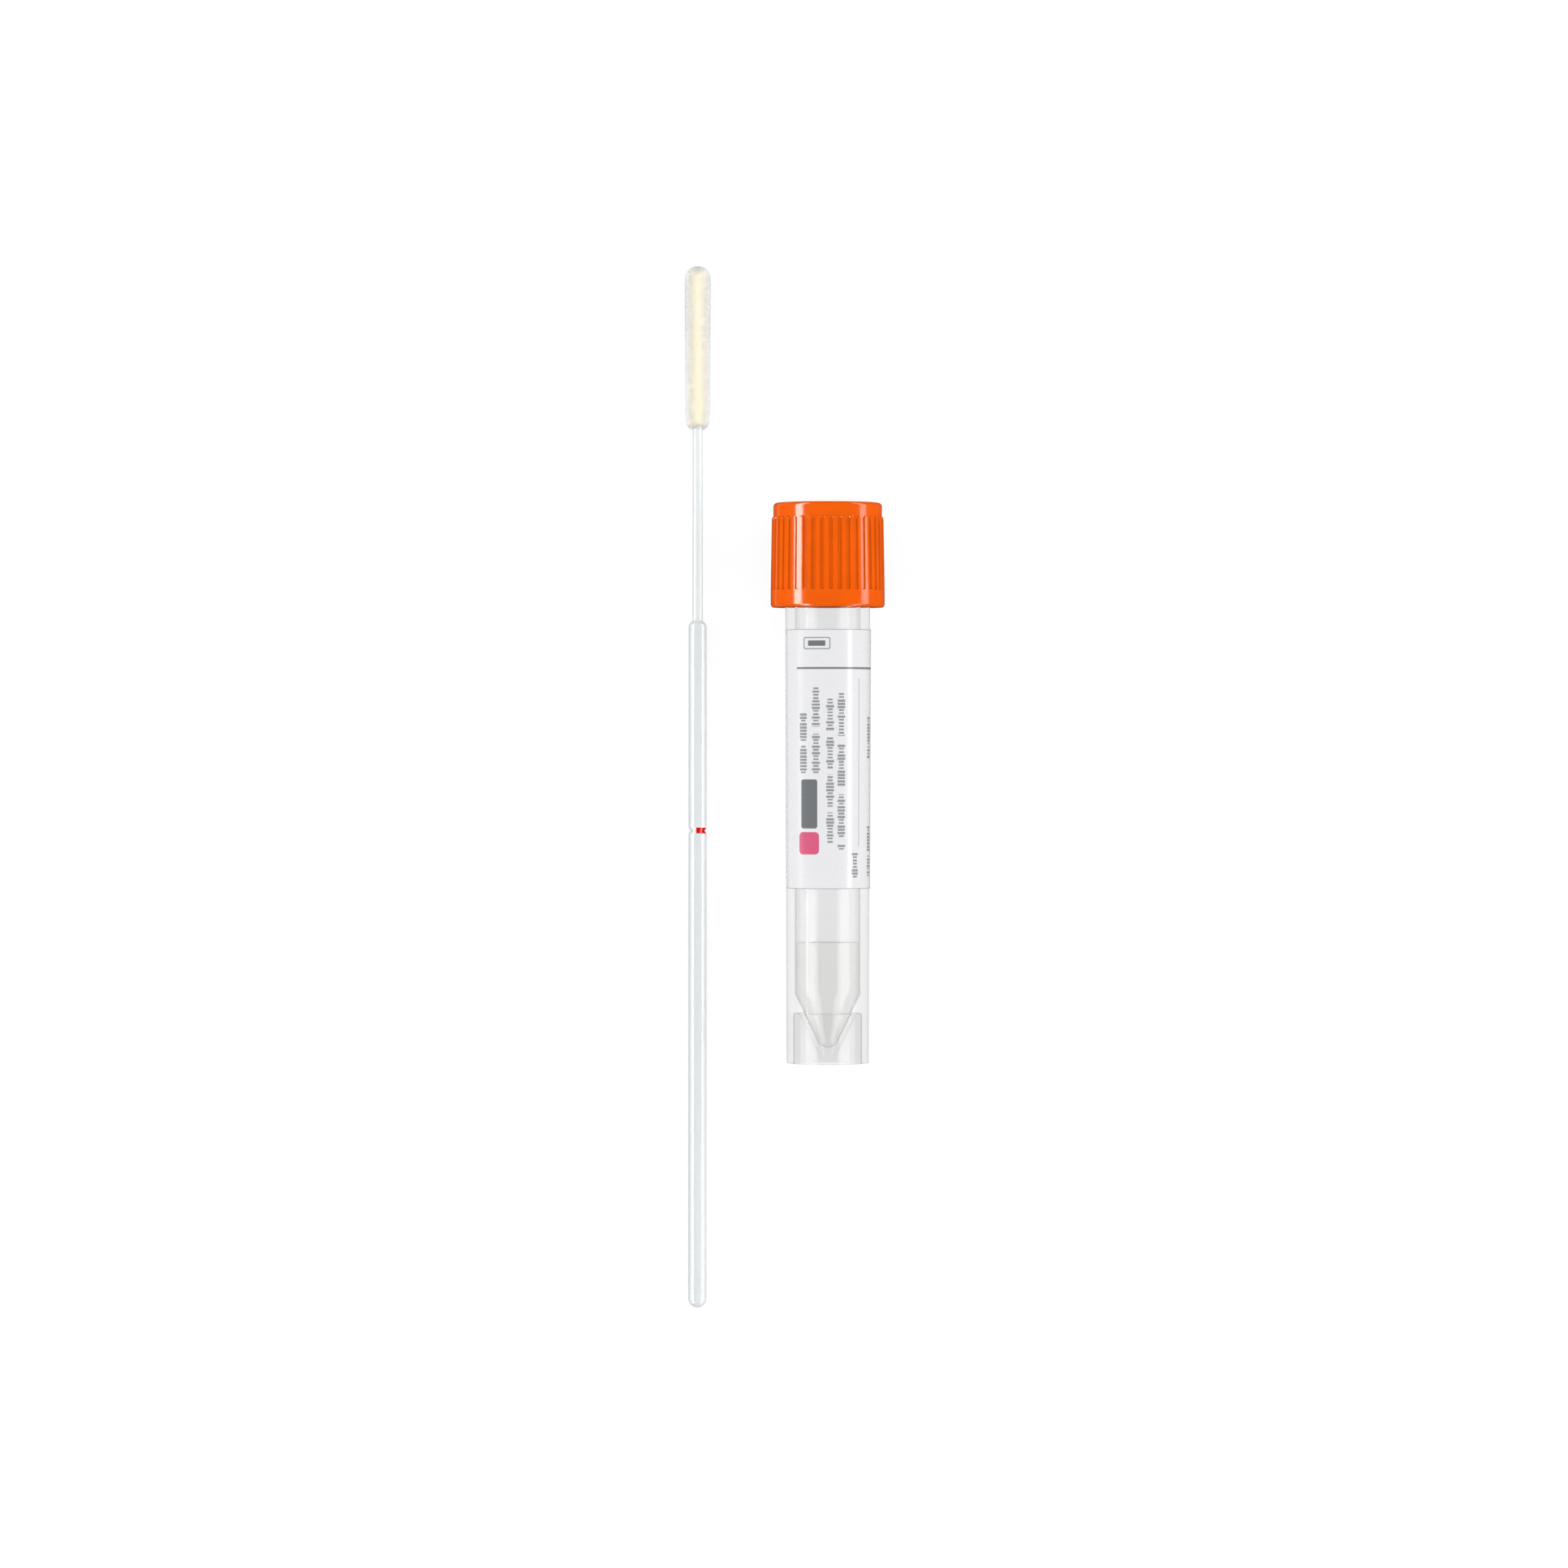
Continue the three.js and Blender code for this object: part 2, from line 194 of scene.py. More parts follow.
def in_rows(profile, low, high, row, narrowest=0.0):
    """The same profile with its stretches between two heights cut into rows, outside a radius."""
    points = [profile[0]]
    for (r0, h0), (r1, h1) in zip(profile, profile[1:]):
        inside = low - SAME <= min(h0, h1) and max(h0, h1) <= high + SAME
        inside = inside and min(r0, r1) >= narrowest
        cuts = max(1, round(abs(h1 - h0) / row)) if inside else 1
        for i in range(1, cuts + 1):
            points.append((r0 + (r1 - r0) * i / cuts, h0 + (h1 - h0) * i / cuts))
    return points


def turned(name, profile, sides):
    """A closed mesh: a profile of (radius, height), low to high outside, turned round +Z."""
    closed = math.dist(profile[0], profile[-1]) < SAME
    points, rings = [], []
    for radius, height in profile[:-1] if closed else profile:
        count = 1 if radius < SAME else sides
        rings.append([len(points) + i % count for i in range(sides + 1)])
        for i in range(count):
            angle = FULL_TURN * i / sides
            points.append((radius * math.cos(angle), radius * math.sin(angle), height))
    faces = []
    for lower, upper in zip(rings, rings[1:] + rings[:1] if closed else rings[1:]):
        for i in range(sides):
            face = list(dict.fromkeys((lower[i], lower[i + 1], upper[i + 1], upper[i])))
            if len(face) > 2:
                faces.append(face)
    mesh = bpy.data.meshes.new(name)
    mesh.from_pydata(points, [], faces)
    return mesh


def smooth(mesh, crease=40):
    """Shades a mesh smooth, with the edges sharper than the crease left crisp."""
    mesh.shade_smooth()
    mesh.set_sharp_from_angle(angle=math.radians(crease))
    return mesh


def add_object(name, data):
    thing = bpy.data.objects.new(name, data)
    bpy.context.scene.collection.objects.link(thing)
    return thing


def worked(mesh, tree, **values):
    """The plain mesh that a geometry node tree makes of another, given its inputs by name."""
    blank = add_object(mesh.name, mesh)
    step = blank.modifiers.new("work", "NODES")
    step.node_group = bpy.data.node_groups[tree]
    for socket in step.node_group.interface.items_tree:
        label = socket.name.lower().replace(" ", "_")
        if label in values:
            step[socket.identifier] = values[label]
    ready = blank.evaluated_get(bpy.context.evaluated_depsgraph_get())
    made = bpy.data.meshes.new_from_object(ready)
    blank.modifiers.remove(step)
    bpy.data.objects.remove(blank)
    return made


def put_in_place(node, mesh, place, body, slot, *materials):
    """Adds the piece that stands for a CAD node, rides on its body and has its finish."""
    mesh.transform(place)
    piece = add_object(f"{node}_piece", mesh)
    for material in materials:
        mesh.materials.append(material)
    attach(piece, body)
    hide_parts(node)
    return piece


# --- Node trees ---


class Result:
    """What a node puts out. Sums with it add the nodes that work them out."""

    def __init__(self, socket):
        self.socket = socket
        self.tree = socket.id_data

    def work(self, operation, *others):
        """The result of a maths node, or of a vector one for a vector or a colour."""
        kind = "ShaderNodeMath" if self.socket.type == "VALUE" else "ShaderNodeVectorMath"
        return out(put(self.tree, kind, self, *others, operation=operation))

    def __rsub__(self, other):
        return out(put(self.tree, "ShaderNodeMath", other, self, operation="SUBTRACT"))

    __add__ = partialmethod(work, "ADD")
    __sub__ = partialmethod(work, "SUBTRACT")
    __mul__ = partialmethod(work, "MULTIPLY")
    __truediv__ = partialmethod(work, "DIVIDE")
    __abs__ = partialmethod(work, "ABSOLUTE")
    __lt__ = partialmethod(work, "LESS_THAN")
    __gt__ = partialmethod(work, "GREATER_THAN")


def plug(value, socket):
    """Links a result to a socket, or sets the socket to a value. None leaves it as it is."""
    if isinstance(value, Result):
        value.tree.links.new(value.socket, socket)
    elif value is not None:
        socket.default_value = value


def put(tree, kind, *inputs, **settings):
    """Adds a node, and plugs the inputs into its enabled sockets in order."""
    node = tree.nodes.new(kind)
    for name, value in settings.items():
        setattr(node, name, value)
    sockets = [socket for socket in node.inputs if socket.enabled]
    for socket, value in zip(sockets, inputs):
        plug(value, socket)
    return node


def out(node, name=None):
    """A node's first enabled output, or the one with that name."""
    return Result(next(s for s in node.outputs if s.enabled and name in (None, s.name)))


def ramp(value, start, end, low=0.0, high=1.0):
    """A smooth step from low at start to high at end."""
    inputs = (value, start, end, low, high)
    return out(put(value.tree, "ShaderNodeMapRange", *inputs, interpolation_type="SMOOTHSTEP"))


def step_at(value, place, soft, low=0.0, high=1.0):
    """A smooth step that is soft on both sides of a place."""
    return ramp(value, place - soft, place + soft, low, high)


def mixed(share, first, second):
    """A colour between two, by a share."""
    return out(put(share.tree, "ShaderNodeMix", share, first, second, data_type="RGBA"))


def noise(where, scale, detail, roughness=0.5):
    return out(put(where.tree, "ShaderNodeTexNoise", where, scale, detail, roughness))


def over(noise_value, low, high):
    """A value that goes from low to high over the usual spread of a noise."""
    return ramp(noise_value, 0.3, 0.7, low, high)


def joined(tree, x, y, z):
    return out(put(tree, "ShaderNodeCombineXYZ", x, y, z))


def apart(arrow):
    return [Result(part) for part in put(arrow.tree, "ShaderNodeSeparateXYZ", arrow).outputs]


def diagonal(across, along):
    """The distance that two distances at a right angle make."""
    return (across.work("POWER", 2.0) + along.work("POWER", 2.0)).work("SQRT")


# What the sockets carry that don't carry a plain number
CARRIED = {
    "geometry": "NodeSocketGeometry",
    "finish": "NodeSocketMaterial",
    "vector": "NodeSocketVector",
    "seed": "NodeSocketInt",
}


def new_tree(kind, name, inputs, outputs):
    """A node group, what its named inputs bring, and the sockets that its results go to."""
    tree = bpy.data.node_groups.new(name, kind)
    for side, labels in (("INPUT", inputs), ("OUTPUT", outputs)):
        for label in labels.split():
            carried = CARRIED.get(label, "NodeSocketFloat")
            shown = label.replace("_", " ").title()
            tree.interface.new_socket(shown, in_out=side, socket_type=carried)
    brought = zip(inputs.split(), tree.nodes.new("NodeGroupInput").outputs)
    given = SimpleNamespace(**{label: Result(socket) for label, socket in brought})
    return tree, given, tree.nodes.new("NodeGroupOutput").inputs


def finish(geometry, material, results):
    """Ends a tree: real geometry, with its material."""
    real = out(put(geometry.tree, "GeometryNodeRealizeInstances", geometry))
    plug(out(put(geometry.tree, "GeometryNodeSetMaterial", real, None, material)), results[0])


def moved(given, chosen, outward, depth):
    """The tree's geometry with its chosen points moved outward."""
    offset = outward.work("SCALE", depth)
    return out(put(outward.tree, "GeometryNodeSetPosition", given.geometry, chosen, None, offset))


def round_axis(tree):
    """Distance from the axis, angle round it in turns, height, and the way outward."""
    position = out(put(tree, "GeometryNodeInputPosition"))
    x, y, height = apart(position)
    flat = position * ACROSS_THE_AXIS
    turns = y.work("ARCTAN2", x) / FULL_TURN
    return flat.work("LENGTH"), turns, height, flat.work("NORMALIZE")


def from_nearest(count):
    """How far a running count is from its nearest whole number, from -0.5 to 0.5."""
    return (count + 0.5).work("FRACT") - 0.5


def thread_tree():
    """Raises the ridges of a screw thread out of one turned wall."""
    wall_band = 0.01 * MM
    fade_out = 0.08
    inputs = "geometry wall_radius depth lead starts root_width crest_width bottom rise drop finish"
    tree, given, results = new_tree("GeometryNodeTree", "Screw thread", inputs, "geometry")
    radius, turns, height, outward = round_axis(tree)
    raised = height + given.drop
    cell = from_nearest((raised / given.lead - turns) * given.starts)
    distance = cell * (given.lead / given.starts)
    ridge = ramp(abs(distance), given.crest_width * 0.5, given.root_width * 0.5, 1.0, 0.0)
    along = (raised - distance - given.bottom) / given.rise
    full = ramp(along.work("MINIMUM", 1.0 - along), 0.0, fade_out)
    same = put(tree, "FunctionNodeCompare", radius, given.wall_radius, wall_band, operation="EQUAL")
    finish(moved(given, out(same), outward, ridge * full * given.depth), given.finish, results)


def grip_tree():
    """Sinks the grooves of a grip into a turned wall, leaving ribs with round upper ends."""
    inputs = "geometry ribs turn groove_width depth flank bottom rib_top limit inner_limit finish"
    tree, given, results = new_tree("GeometryNodeTree", "Grip ribs", inputs, "geometry")
    radius, turns, height, outward = round_axis(tree)
    pitch = radius * FULL_TURN / given.ribs
    across = from_nearest((turns - given.turn) * given.ribs) * pitch
    half = (pitch - given.groove_width) * 0.5
    beyond = (height - (given.rib_top - half)).work("MAXIMUM", 0.0)
    half_flank = given.flank * 0.5
    sunk = ramp(diagonal(across, beyond) - half, half_flank * -1.0, half_flank)
    above = ramp(height - given.bottom, 0.0, given.flank)
    on_grip = (height < given.limit) * (radius > given.inner_limit)
    grooved = moved(given, on_grip, outward, sunk * above * given.depth * -1.0)
    finish(grooved, given.finish, results)


def drawn(tree, least, most, seed):
    """A vector drawn anew for each point, between two."""
    inputs = (least, most, None, seed)
    return out(put(tree, "FunctionNodeRandomValue", *inputs, data_type="FLOAT_VECTOR"))


def flock_tree():
    """Stands short fibres all over a surface, each leaning a little its own way."""
    inputs = "geometry density fibre_length fibre_radius lean seed finish"
    tree, given, results = new_tree("GeometryNodeTree", "Flock", inputs, "geometry")
    wanted = (given.geometry, None, given.density, given.seed)
    spread = put(tree, "GeometryNodeDistributePointsOnFaces", *wanted)
    sides, thinner, any_turn = 3, 0.55, 3.0
    sizes = (given.fibre_radius * thinner, given.fibre_radius, given.fibre_length)
    fibre = out(put(tree, "GeometryNodeMeshCone", sides, 1, 1, *sizes), "Mesh")
    most = joined(tree, given.lean, given.lean, any_turn)
    turn = drawn(tree, most * (-1, -1, -1), most, LEAN_SEED)
    both = (out(spread, "Rotation"), out(put(tree, "FunctionNodeEulerToRotation", turn)))
    stand = out(put(tree, "FunctionNodeRotateRotation", *both, rotation_space="LOCAL"))
    size = drawn(tree, (0.8, 0.8, 0.9), (1.2, 1.2, 1.1), SIZE_SEED)
    inputs = (out(spread, "Points"), None, fibre, None, None, stand, size)
    finish(out(put(tree, "GeometryNodeInstanceOnPoints", *inputs)), given.finish, results)


def grain_group():
    """Fine surface grain: a height for Bump, and a mask that wanders slowly."""
    inputs = "vector grain_scale cloud_scale"
    _, given, results = new_tree("ShaderNodeTree", "Fine grain", inputs, "height cloud")
    plug(noise(given.vector, given.grain_scale, 3.0, 0.55), results[0])
    plug(noise(given.vector, given.cloud_scale, 2.0), results[1])


def flow_group():
    """Long streaks along an axis, as the draw out of a mould leaves them."""
    inputs = "vector streak_scale length_share"
    tree, given, results = new_tree("ShaderNodeTree", "Mould flow", inputs, "height streak")
    stretched = given.vector * joined(tree, 1.0, 1.0, given.length_share)
    streak = noise(stretched, given.streak_scale, 2.0)
    wave = noise(given.vector, 260.0, 1.0, 0.4)
    plug(streak * 0.35 + wave, results[0])
    plug(streak, results[1])


def bar_group():
    """The mask of one printed bar, whole or broken into short strokes; lengths in millimetres."""
    stroke_pitch = 0.46
    inputs = "across down centre top width length round broken word"
    tree, given, results = new_tree("ShaderNodeTree", "Printed bar", inputs, "mask")
    below = given.down - given.top
    half = given.length * 0.5
    cell = below / stroke_pitch
    place = joined(tree, cell.work("FLOOR"), given.centre, 0.0)
    chance = out(put(tree, "ShaderNodeTexWhiteNoise", place), "Value")
    tall = ramp(chance, 0.55, 0.6, 0.68, 1.0)
    width = ((tall - 1.0) * given.broken + 1.0) * given.width
    past_side = abs(given.across - given.centre) - width * 0.5
    past_end = abs(below - half) - half
    corner_a = (past_side + given.round).work("MAXIMUM", 0.0)
    corner_b = (past_end + given.round).work("MAXIMUM", 0.0)
    solid = step_at(diagonal(corner_a, corner_b) - given.round, 0.0, soft=0.03, low=1.0, high=0.0)
    thick = ramp(chance, 0.0, 1.0, 0.5, 0.78)
    inked = step_at(thick - cell.work("FRACT"), 0.0, soft=0.08)
    in_word = step_at((below / given.word).work("FRACT"), 0.85, soft=0.01, low=1.0, high=0.0)
    plug(solid * ((inked * in_word - 1.0) * given.broken + 1.0), results[0])


# --- Materials ---


def linear(code):
    """A colour of six hexadecimal digits as linear red, green and blue."""
    parts = [int(code[i : i + 2], 16) / 255 for i in (0, 2, 4)]
    return tuple(p / 12.92 if p <= 0.04045 else ((p + 0.055) / 1.055) ** 2.4 for p in parts)


def shade(colour, factor=1.0):
    """A colour made lighter or darker, with alpha."""
    return (*(min(1.0, part * factor) for part in colour[:3]), 1.0)


def emptied(owner):
    """The emptied node tree of a material, a world or a lamp."""
    owner.use_nodes = True
    owner.node_tree.nodes.clear()
    return owner.node_tree


def new_material(name):
    material = bpy.data.materials.new(name)
    return material, emptied(material)


def surfaced(tree, **values):
    """A surface shader, with its sockets set by name."""
    node = tree.nodes.new("ShaderNodeBsdfPrincipled")
    for name, value in values.items():
        plug(value, node.inputs[name.replace("_", " ")])
    return out(node)


def show(shader):
    put(shader.tree, "ShaderNodeOutputMaterial", shader)


def diffuse(tree, level):
    return out(put(tree, "ShaderNodeBsdfDiffuse", (level, level, level, 1)))


def glow(tree, strength):
    return out(put(tree, "ShaderNodeEmission", WHITE, strength))


def for_ray(kind, usual, special):
    """A shader that gives way to a special one for one kind of ray."""
    chosen = out(put(usual.tree, "ShaderNodeLightPath"), kind)
    return out(put(usual.tree, "ShaderNodeMixShader", chosen, usual, special))


def group(tree, name, **inputs):
    """Places a shared node group, with its inputs by name, and gives its outputs by name."""
    node = put(tree, "ShaderNodeGroup", node_tree=bpy.data.node_groups[name])
    for label, value in inputs.items():
        plug(value, node.inputs[label.replace("_", " ").title()])
    return SimpleNamespace(**{socket.name.lower(): Result(socket) for socket in node.outputs})


def grained(tree, where, grain_scale, cloud_scale):
    scales = {"grain_scale": grain_scale, "cloud_scale": cloud_scale}
    return group(tree, "Fine grain", vector=where, **scales)


def scene_frame(tree):
    return out(put(tree, "ShaderNodeTexCoord"), "Object")


def own_frame(tree, place):
    """Object coordinates moved to a piece's own frame, with +Z along its axis."""
    home = place.inverted()
    move = (home.to_translation(), home.to_euler())
    return out(put(tree, "ShaderNodeMapping", scene_frame(tree), *move))


def bump(height, distance):
    return out(put(height.tree, "ShaderNodeBump", 1.0, distance, None, height))


def clear_finish(name, place, colours, reach, ior, coat, streaks):
    """A clear material with mould streaks, whose shadow lets most of the light through. Below
    a height it has its second colour, and nearer the axis than a radius its third. These are tints of
    one clear material: where darker they are painted shade, and where lighter painted light, for how
    light passes through those parts."""
    material, tree = new_material(name)
    here = own_frame(tree, place)
    flow = group(tree, "Mould flow", vector=here, streak_scale=900.0, length_share=0.02)
    high = step_at(apart(here)[2], reach.height, soft=0.3 * MM)
    far = step_at((here * ACROSS_THE_AXIS).work("LENGTH"), reach.radius, soft=0.1 * MM)
    low = mixed(far, shade(colours[2]), shade(colours[1]))
    plain = mixed(high, low, shade(colours[0]))
    surface = surfaced(
        tree,
        Base_Color=plain.work("SCALE", flow.streak * (2 * streaks) + (1 - streaks)),
        Roughness=over(flow.streak, 0.012, 0.035),
        Transmission_Weight=1.0,
        IOR=ior,
        Coat_Weight=coat,
        Coat_IOR=1.5,
        Coat_Roughness=0.03,
        Normal=bump(flow.height, 0.0012 * MM),
    )
    show(let_light_through(surface, shade(colours[0])))
    return material


def let_light_through(surface, colour):
    """Rays on their way to a lamp pass the surface, tinted, and so do rays that it would mirror
    inside itself, which would go round until they are dropped."""
    clear = out(put(surface.tree, "ShaderNodeBsdfTransparent", colour))
    mirrored = for_ray("Is Glossy Ray", surface, clear)
    seen = for_ray("Is Transmission Ray", mirrored, surface)
    return for_ray("Is Shadow Ray", seen, clear)


def cap_finish(colour):
    """Glossy opaque polypropylene with a fine spark grain and slight clouds in its pigment.
    Light that bounces off it counts as grey, so that it leaves the white ground white."""
    material, tree = new_material("cap_plastic")
    grain = grained(tree, scene_frame(tree), grain_scale=5200.0, cloud_scale=220.0)
    surface = surfaced(
        tree,
        Base_Color=mixed(over(grain.cloud, 0.0, 1.0), shade(colour, 0.95), shade(colour, 1.04)),
        Roughness=over(grain.height, 0.08, 0.16),
        Specular_IOR_Level=0.3,
        Normal=bump(grain.height, 0.005 * MM),
    )
    show(for_ray("Is Diffuse Ray", surface, diffuse(tree, 0.3)))
    return material


def seal_finish(colour):
    """Matt soft elastomer with a faint bloom."""
    material, tree = new_material("seal")
    grain = grained(tree, scene_frame(tree), grain_scale=6000.0, cloud_scale=500.0)
    tint = mixed(grain.cloud, shade(colour, 0.93), shade(colour, 1.02))
    rough = over(grain.height, 0.5, 0.7)
    show(surfaced(tree, Base_Color=tint, Roughness=rough, Normal=bump(grain.height, 0.008 * MM)))
    return material


def shaft_finish(place, colour, paint, mark):
    """Milky glossy plastic with mould streaks, and paint in one half of the breakpoint."""
    material, tree = new_material("shaft_plastic")
    here = own_frame(tree, place)
    flow = group(tree, "Mould flow", vector=here, streak_scale=2500.0, length_share=0.015)
    bare = mixed(flow.streak, shade(colour, 0.97), shade(colour, 1.02))
    x, _, height = apart(here)
    ragged = noise(here, 4000.0, 2.0)
    wander = (ragged - 0.5) * (0.06 * MM)
    off = abs(height - mark.height) + wander
    in_groove = step_at(off, mark.width / 2, soft=0.02 * MM, low=1.0, high=0.0)
    painted = in_groove * step_at(x + wander, mark.side, soft=0.03 * MM)
    red = mixed(ragged, shade(paint, 0.85), shade(paint, 1.1))
    surface = surfaced(
        tree,
        Base_Color=mixed(painted, bare, red),
        Roughness=over(flow.streak, 0.13, 0.2),
        Subsurface_Weight=1.0,
        Subsurface_Radius=(1.0, 1.0, 1.0),
        Subsurface_Scale=2.0 * MM,
        Coat_Weight=0.35,
        Coat_Roughness=0.12,
        Normal=bump(flow.height, 0.002 * MM),
    )
    show(surface)
    return material


def fibre_finish(place, colours, reach):
    """Fine nylon fibre, each a little unlike the next: warm at its root, and grey at its end, where
    the grey is painted shade on the pile's rim.
    """
    material, tree = new_material("flock")
    here = own_frame(tree, place)
    grain = grained(tree, here, grain_scale=9000.0, cloud_scale=700.0)
    nearest = apart(here)[2].work("MAXIMUM", reach.low).work("MINIMUM", reach.high)
    depth = (here - joined(tree, 0.0, 0.0, nearest)).work("LENGTH")
    white = mixed(grain.height, shade(colours.pile, 0.93), shade(colours.pile))
    warm = mixed(ramp(depth, reach.root, reach.end), shade(colours.core), white)
    # The grey towards the fibres' ends is painted shade for the darker rim of the pile.
    tint = mixed(ramp(depth, reach.end, reach.tip), warm, shade(colours.painted_shade_pile_end))
    show(surfaced(tree, Base_Color=tint, Roughness=0.6, Specular_IOR_Level=0.2))
    return material


def core_finish(colour):
    """The adhesive under the fibres."""
    material, tree = new_material("flock_core")
    grain = grained(tree, scene_frame(tree), grain_scale=5000.0, cloud_scale=900.0)
    tint = mixed(grain.cloud, shade(colour, 0.94), shade(colour, 1.04))
    show(surfaced(tree, Base_Color=tint, Roughness=0.7, Normal=bump(grain.height, 0.02 * MM)))
    return material


# What is printed on the label, in millimetres: centre across from the front, top below the
# label's edge, width across, length down. Small print is broken into strokes, and its last
# number is the length of a word.
SMALL_PRINT = [
    (-3.65, 12.0, 1.15, 8.6, 4.6),
    (-1.70, 8.3, 1.15, 12.3, 6.6),
    (0.30, 9.9, 1.1, 20.7, 5.4),
    (1.90, 9.1, 1.1, 22.3, 7.2),
    (4.10, 31.9, 1.1, 3.5, 9.0),
    (7.50, 12.5, 1.1, 6.0, 9.0),
    (7.50, 28.1, 1.1, 7.3, 4.2),
    (11.4, 28.6, 1.1, 6.8, 9.0),
    (14.9, 30.2, 1.1, 5.2, 9.0),
]
# Width of the grey band painted along the label's edges as shade
EDGE_SHADE_WIDTH = 0.09
BATCH_BAR = (-1.60, 1.62, 2.5, 0.78)
DIVIDER = (4.62, 5.40, 18.8, 0.30)
HEADLINE = (-2.75, 21.4, 2.5, 7.0)
PATCH = (-2.80, 28.9, 3.1, 3.2)
BATCH_BOX = (-1.60, 1.13, 3.9, 1.75)
BATCH_INSIDE = (-1.60, 1.29, 3.58, 1.43)
WRITE_ON_LINES = [
    (4.80, 7.0, 0.17, 24.0),
    (8.60, 19.5, 0.17, 8.0),
    (12.1, 7.0, 0.17, 21.0),
    (15.6, 7.0, 0.17, 22.6),
]


def label_finish(colours, label):
    """Laminated film: pale ground, plain bars where a form's print would be, a soft gloss, and a grey
    band of painted shade along its edges.
    Seen through the tube, from behind, it lets some light through, and a painted glow is added there.
    The label's reach is in millimetres of its own flat coordinates."""
    material, tree = new_material("label_film")
    across, down, _ = apart(out(put(tree, "ShaderNodeUVMap", uv_map="label")))

    def bar(mark, rounding=0.12):
        centre, top, width, length, *word = mark
        place = {"across": across, "down": down, "centre": centre, "top": top}
        size = {"width": width, "length": length, "round": rounding}
        print_size = {"broken": 1.0 if word else 0.0, "word": word[0] if word else 4.0}
        return group(tree, "Printed bar", **place, **size, **print_size).mask

    def all_of(masks):
        whole = masks[0]
        for mask in masks[1:]:
            whole = whole.work("MAXIMUM", mask)
        return whole

    grain = grained(tree, scene_frame(tree), grain_scale=2600.0, cloud_scale=300.0)
    ground = mixed(grain.cloud, shade(colours.film, 0.985), shade(colours.film, 1.015))
    box = bar(BATCH_BOX, 0.3) - bar(BATCH_INSIDE, 0.2)
    fine = all_of([bar(mark) for mark in SMALL_PRINT] + [box])
    dark = all_of([bar(HEADLINE, 0.35), bar(DIVIDER, 0.02), bar(BATCH_BAR)])
    lines = all_of([bar(mark, 0.05) for mark in WRITE_ON_LINES])
    middle = (label.right + label.left) / 2
    inside = (middle, EDGE_SHADE_WIDTH, label.right - label.left - 2 * EDGE_SHADE_WIDTH, label.down - 2 * EDGE_SHADE_WIDTH)
    # A grey band along the label's edges is painted shade, where the film's edge would be in shadow.
    edges = 1.0 - bar(inside, label.corner - EDGE_SHADE_WIDTH)
    ground = mixed(edges, ground, shade(colours.painted_edge_shade))
    inked = mixed(lines, ground, shade(colours.rule))
    inked = mixed(fine * 0.92, inked, shade(colours.small_print))
    inked = mixed(dark, inked, shade(colours.dark_print))
    surface = surfaced(
        tree,
        Base_Color=mixed(bar(PATCH, 0.6), inked, shade(colours.patch)),
        Roughness=over(grain.height, 0.2, 0.32),
        Specular_IOR_Level=0.2,
        Coat_Weight=0.3,
        Coat_Roughness=0.08,
        Normal=bump(grain.height, 0.003 * MM),
    )
    # Seen through the tube, the film is translucent plus a glow of 0.3, which is painted light
    # standing in for light coming through the label.
    soaked = out(put(tree, "ShaderNodeBsdfTranslucent", (0.7, 0.7, 0.71, 1)))
    behind = out(put(tree, "ShaderNodeAddShader", soaked, glow(tree, 0.3)))
    show(for_ray("Is Transmission Ray", surface, behind))
    return material


# --- Settings ---


def number(name, text, value, **kind):
    return FloatProperty(name=name, description=text, default=value, **kind)


def length(name, text, millimetres):
    return number(name, text, millimetres * MM, unit="LENGTH", precision=5)


def angle(name, text, degrees):
    return number(name, text, math.radians(degrees), subtype="ANGLE")


def colour(name, text, code):
    look = {"subtype": "COLOR", "size": 3, "min": 0, "max": 1}
    return FloatVectorProperty(name=name, description=text, default=linear(code), **look)


class TubeSizes(bpy.types.PropertyGroup):
    bore_radius: length("Bore radius", "Inside radius of the tube", 4.5)
    body_wall: length("Body wall", "Wall just under the cap", 1.55)
    body_taper: length("Body taper", "How much thinner in radius the foot is", 0.2)
    body_height: length("Body height", "Foot to the shoulder under the cap", 66.2)
    neck_wall: length("Neck wall", "Wall at the mouth", 0.7)
    mouth_round: length("Mouth rounding", "Rounding of the lip", 0.25)
    foot_round: length("Foot rounding", "Rounding of the foot's edges", 0.2)
    skirt_wall: length("Skirt wall", "Wall round the hollow foot", 1.1)
    skirt_depth: length("Skirt depth", "Depth of the hollow under the cone", 7.2)
    cone_top: length("Cone top", "Where the bore starts to narrow", 9.9)
    cone_wall: length("Cone wall", "Wall of the cone", 0.8)
    cone_tip: length("Cone tip", "Gap from the cone's flat end to the surface", 0.95)
    cone_round: length("Cone rounding", "Softness of the cone's corners", 0.45)
    well_height: length("Well height", "Lowest point of the bore", 2.35)
    well_round: length("Well rounding", "Radius of the bore's closed end", 1.5)
    medium_gap: length("Medium gap", "Film of air between the medium and the wall", 0.02)
    meniscus: length("Meniscus", "How far the medium climbs the wall", 0.04)
    wall: colour("Wall colour", "Clear plastic", "F2F2F2")
    # The skirt tint is painted shade: the same clear plastic made darker round the hollow foot. The
    # cone tint is painted light: the same plastic made lighter in the cone.
    skirt: colour("Skirt colour", "Clear plastic round the hollow foot", "F0F0F0")
    cone: colour("Cone colour", "Clear plastic of the cone", "FEFEFE")
    medium: colour("Medium colour", "Transport medium", "F8F8F7")
    # The well tint is painted light: the same medium made lighter low in the cone.
    well: colour("Well colour", "Transport medium low in the cone", "FCFCFB")


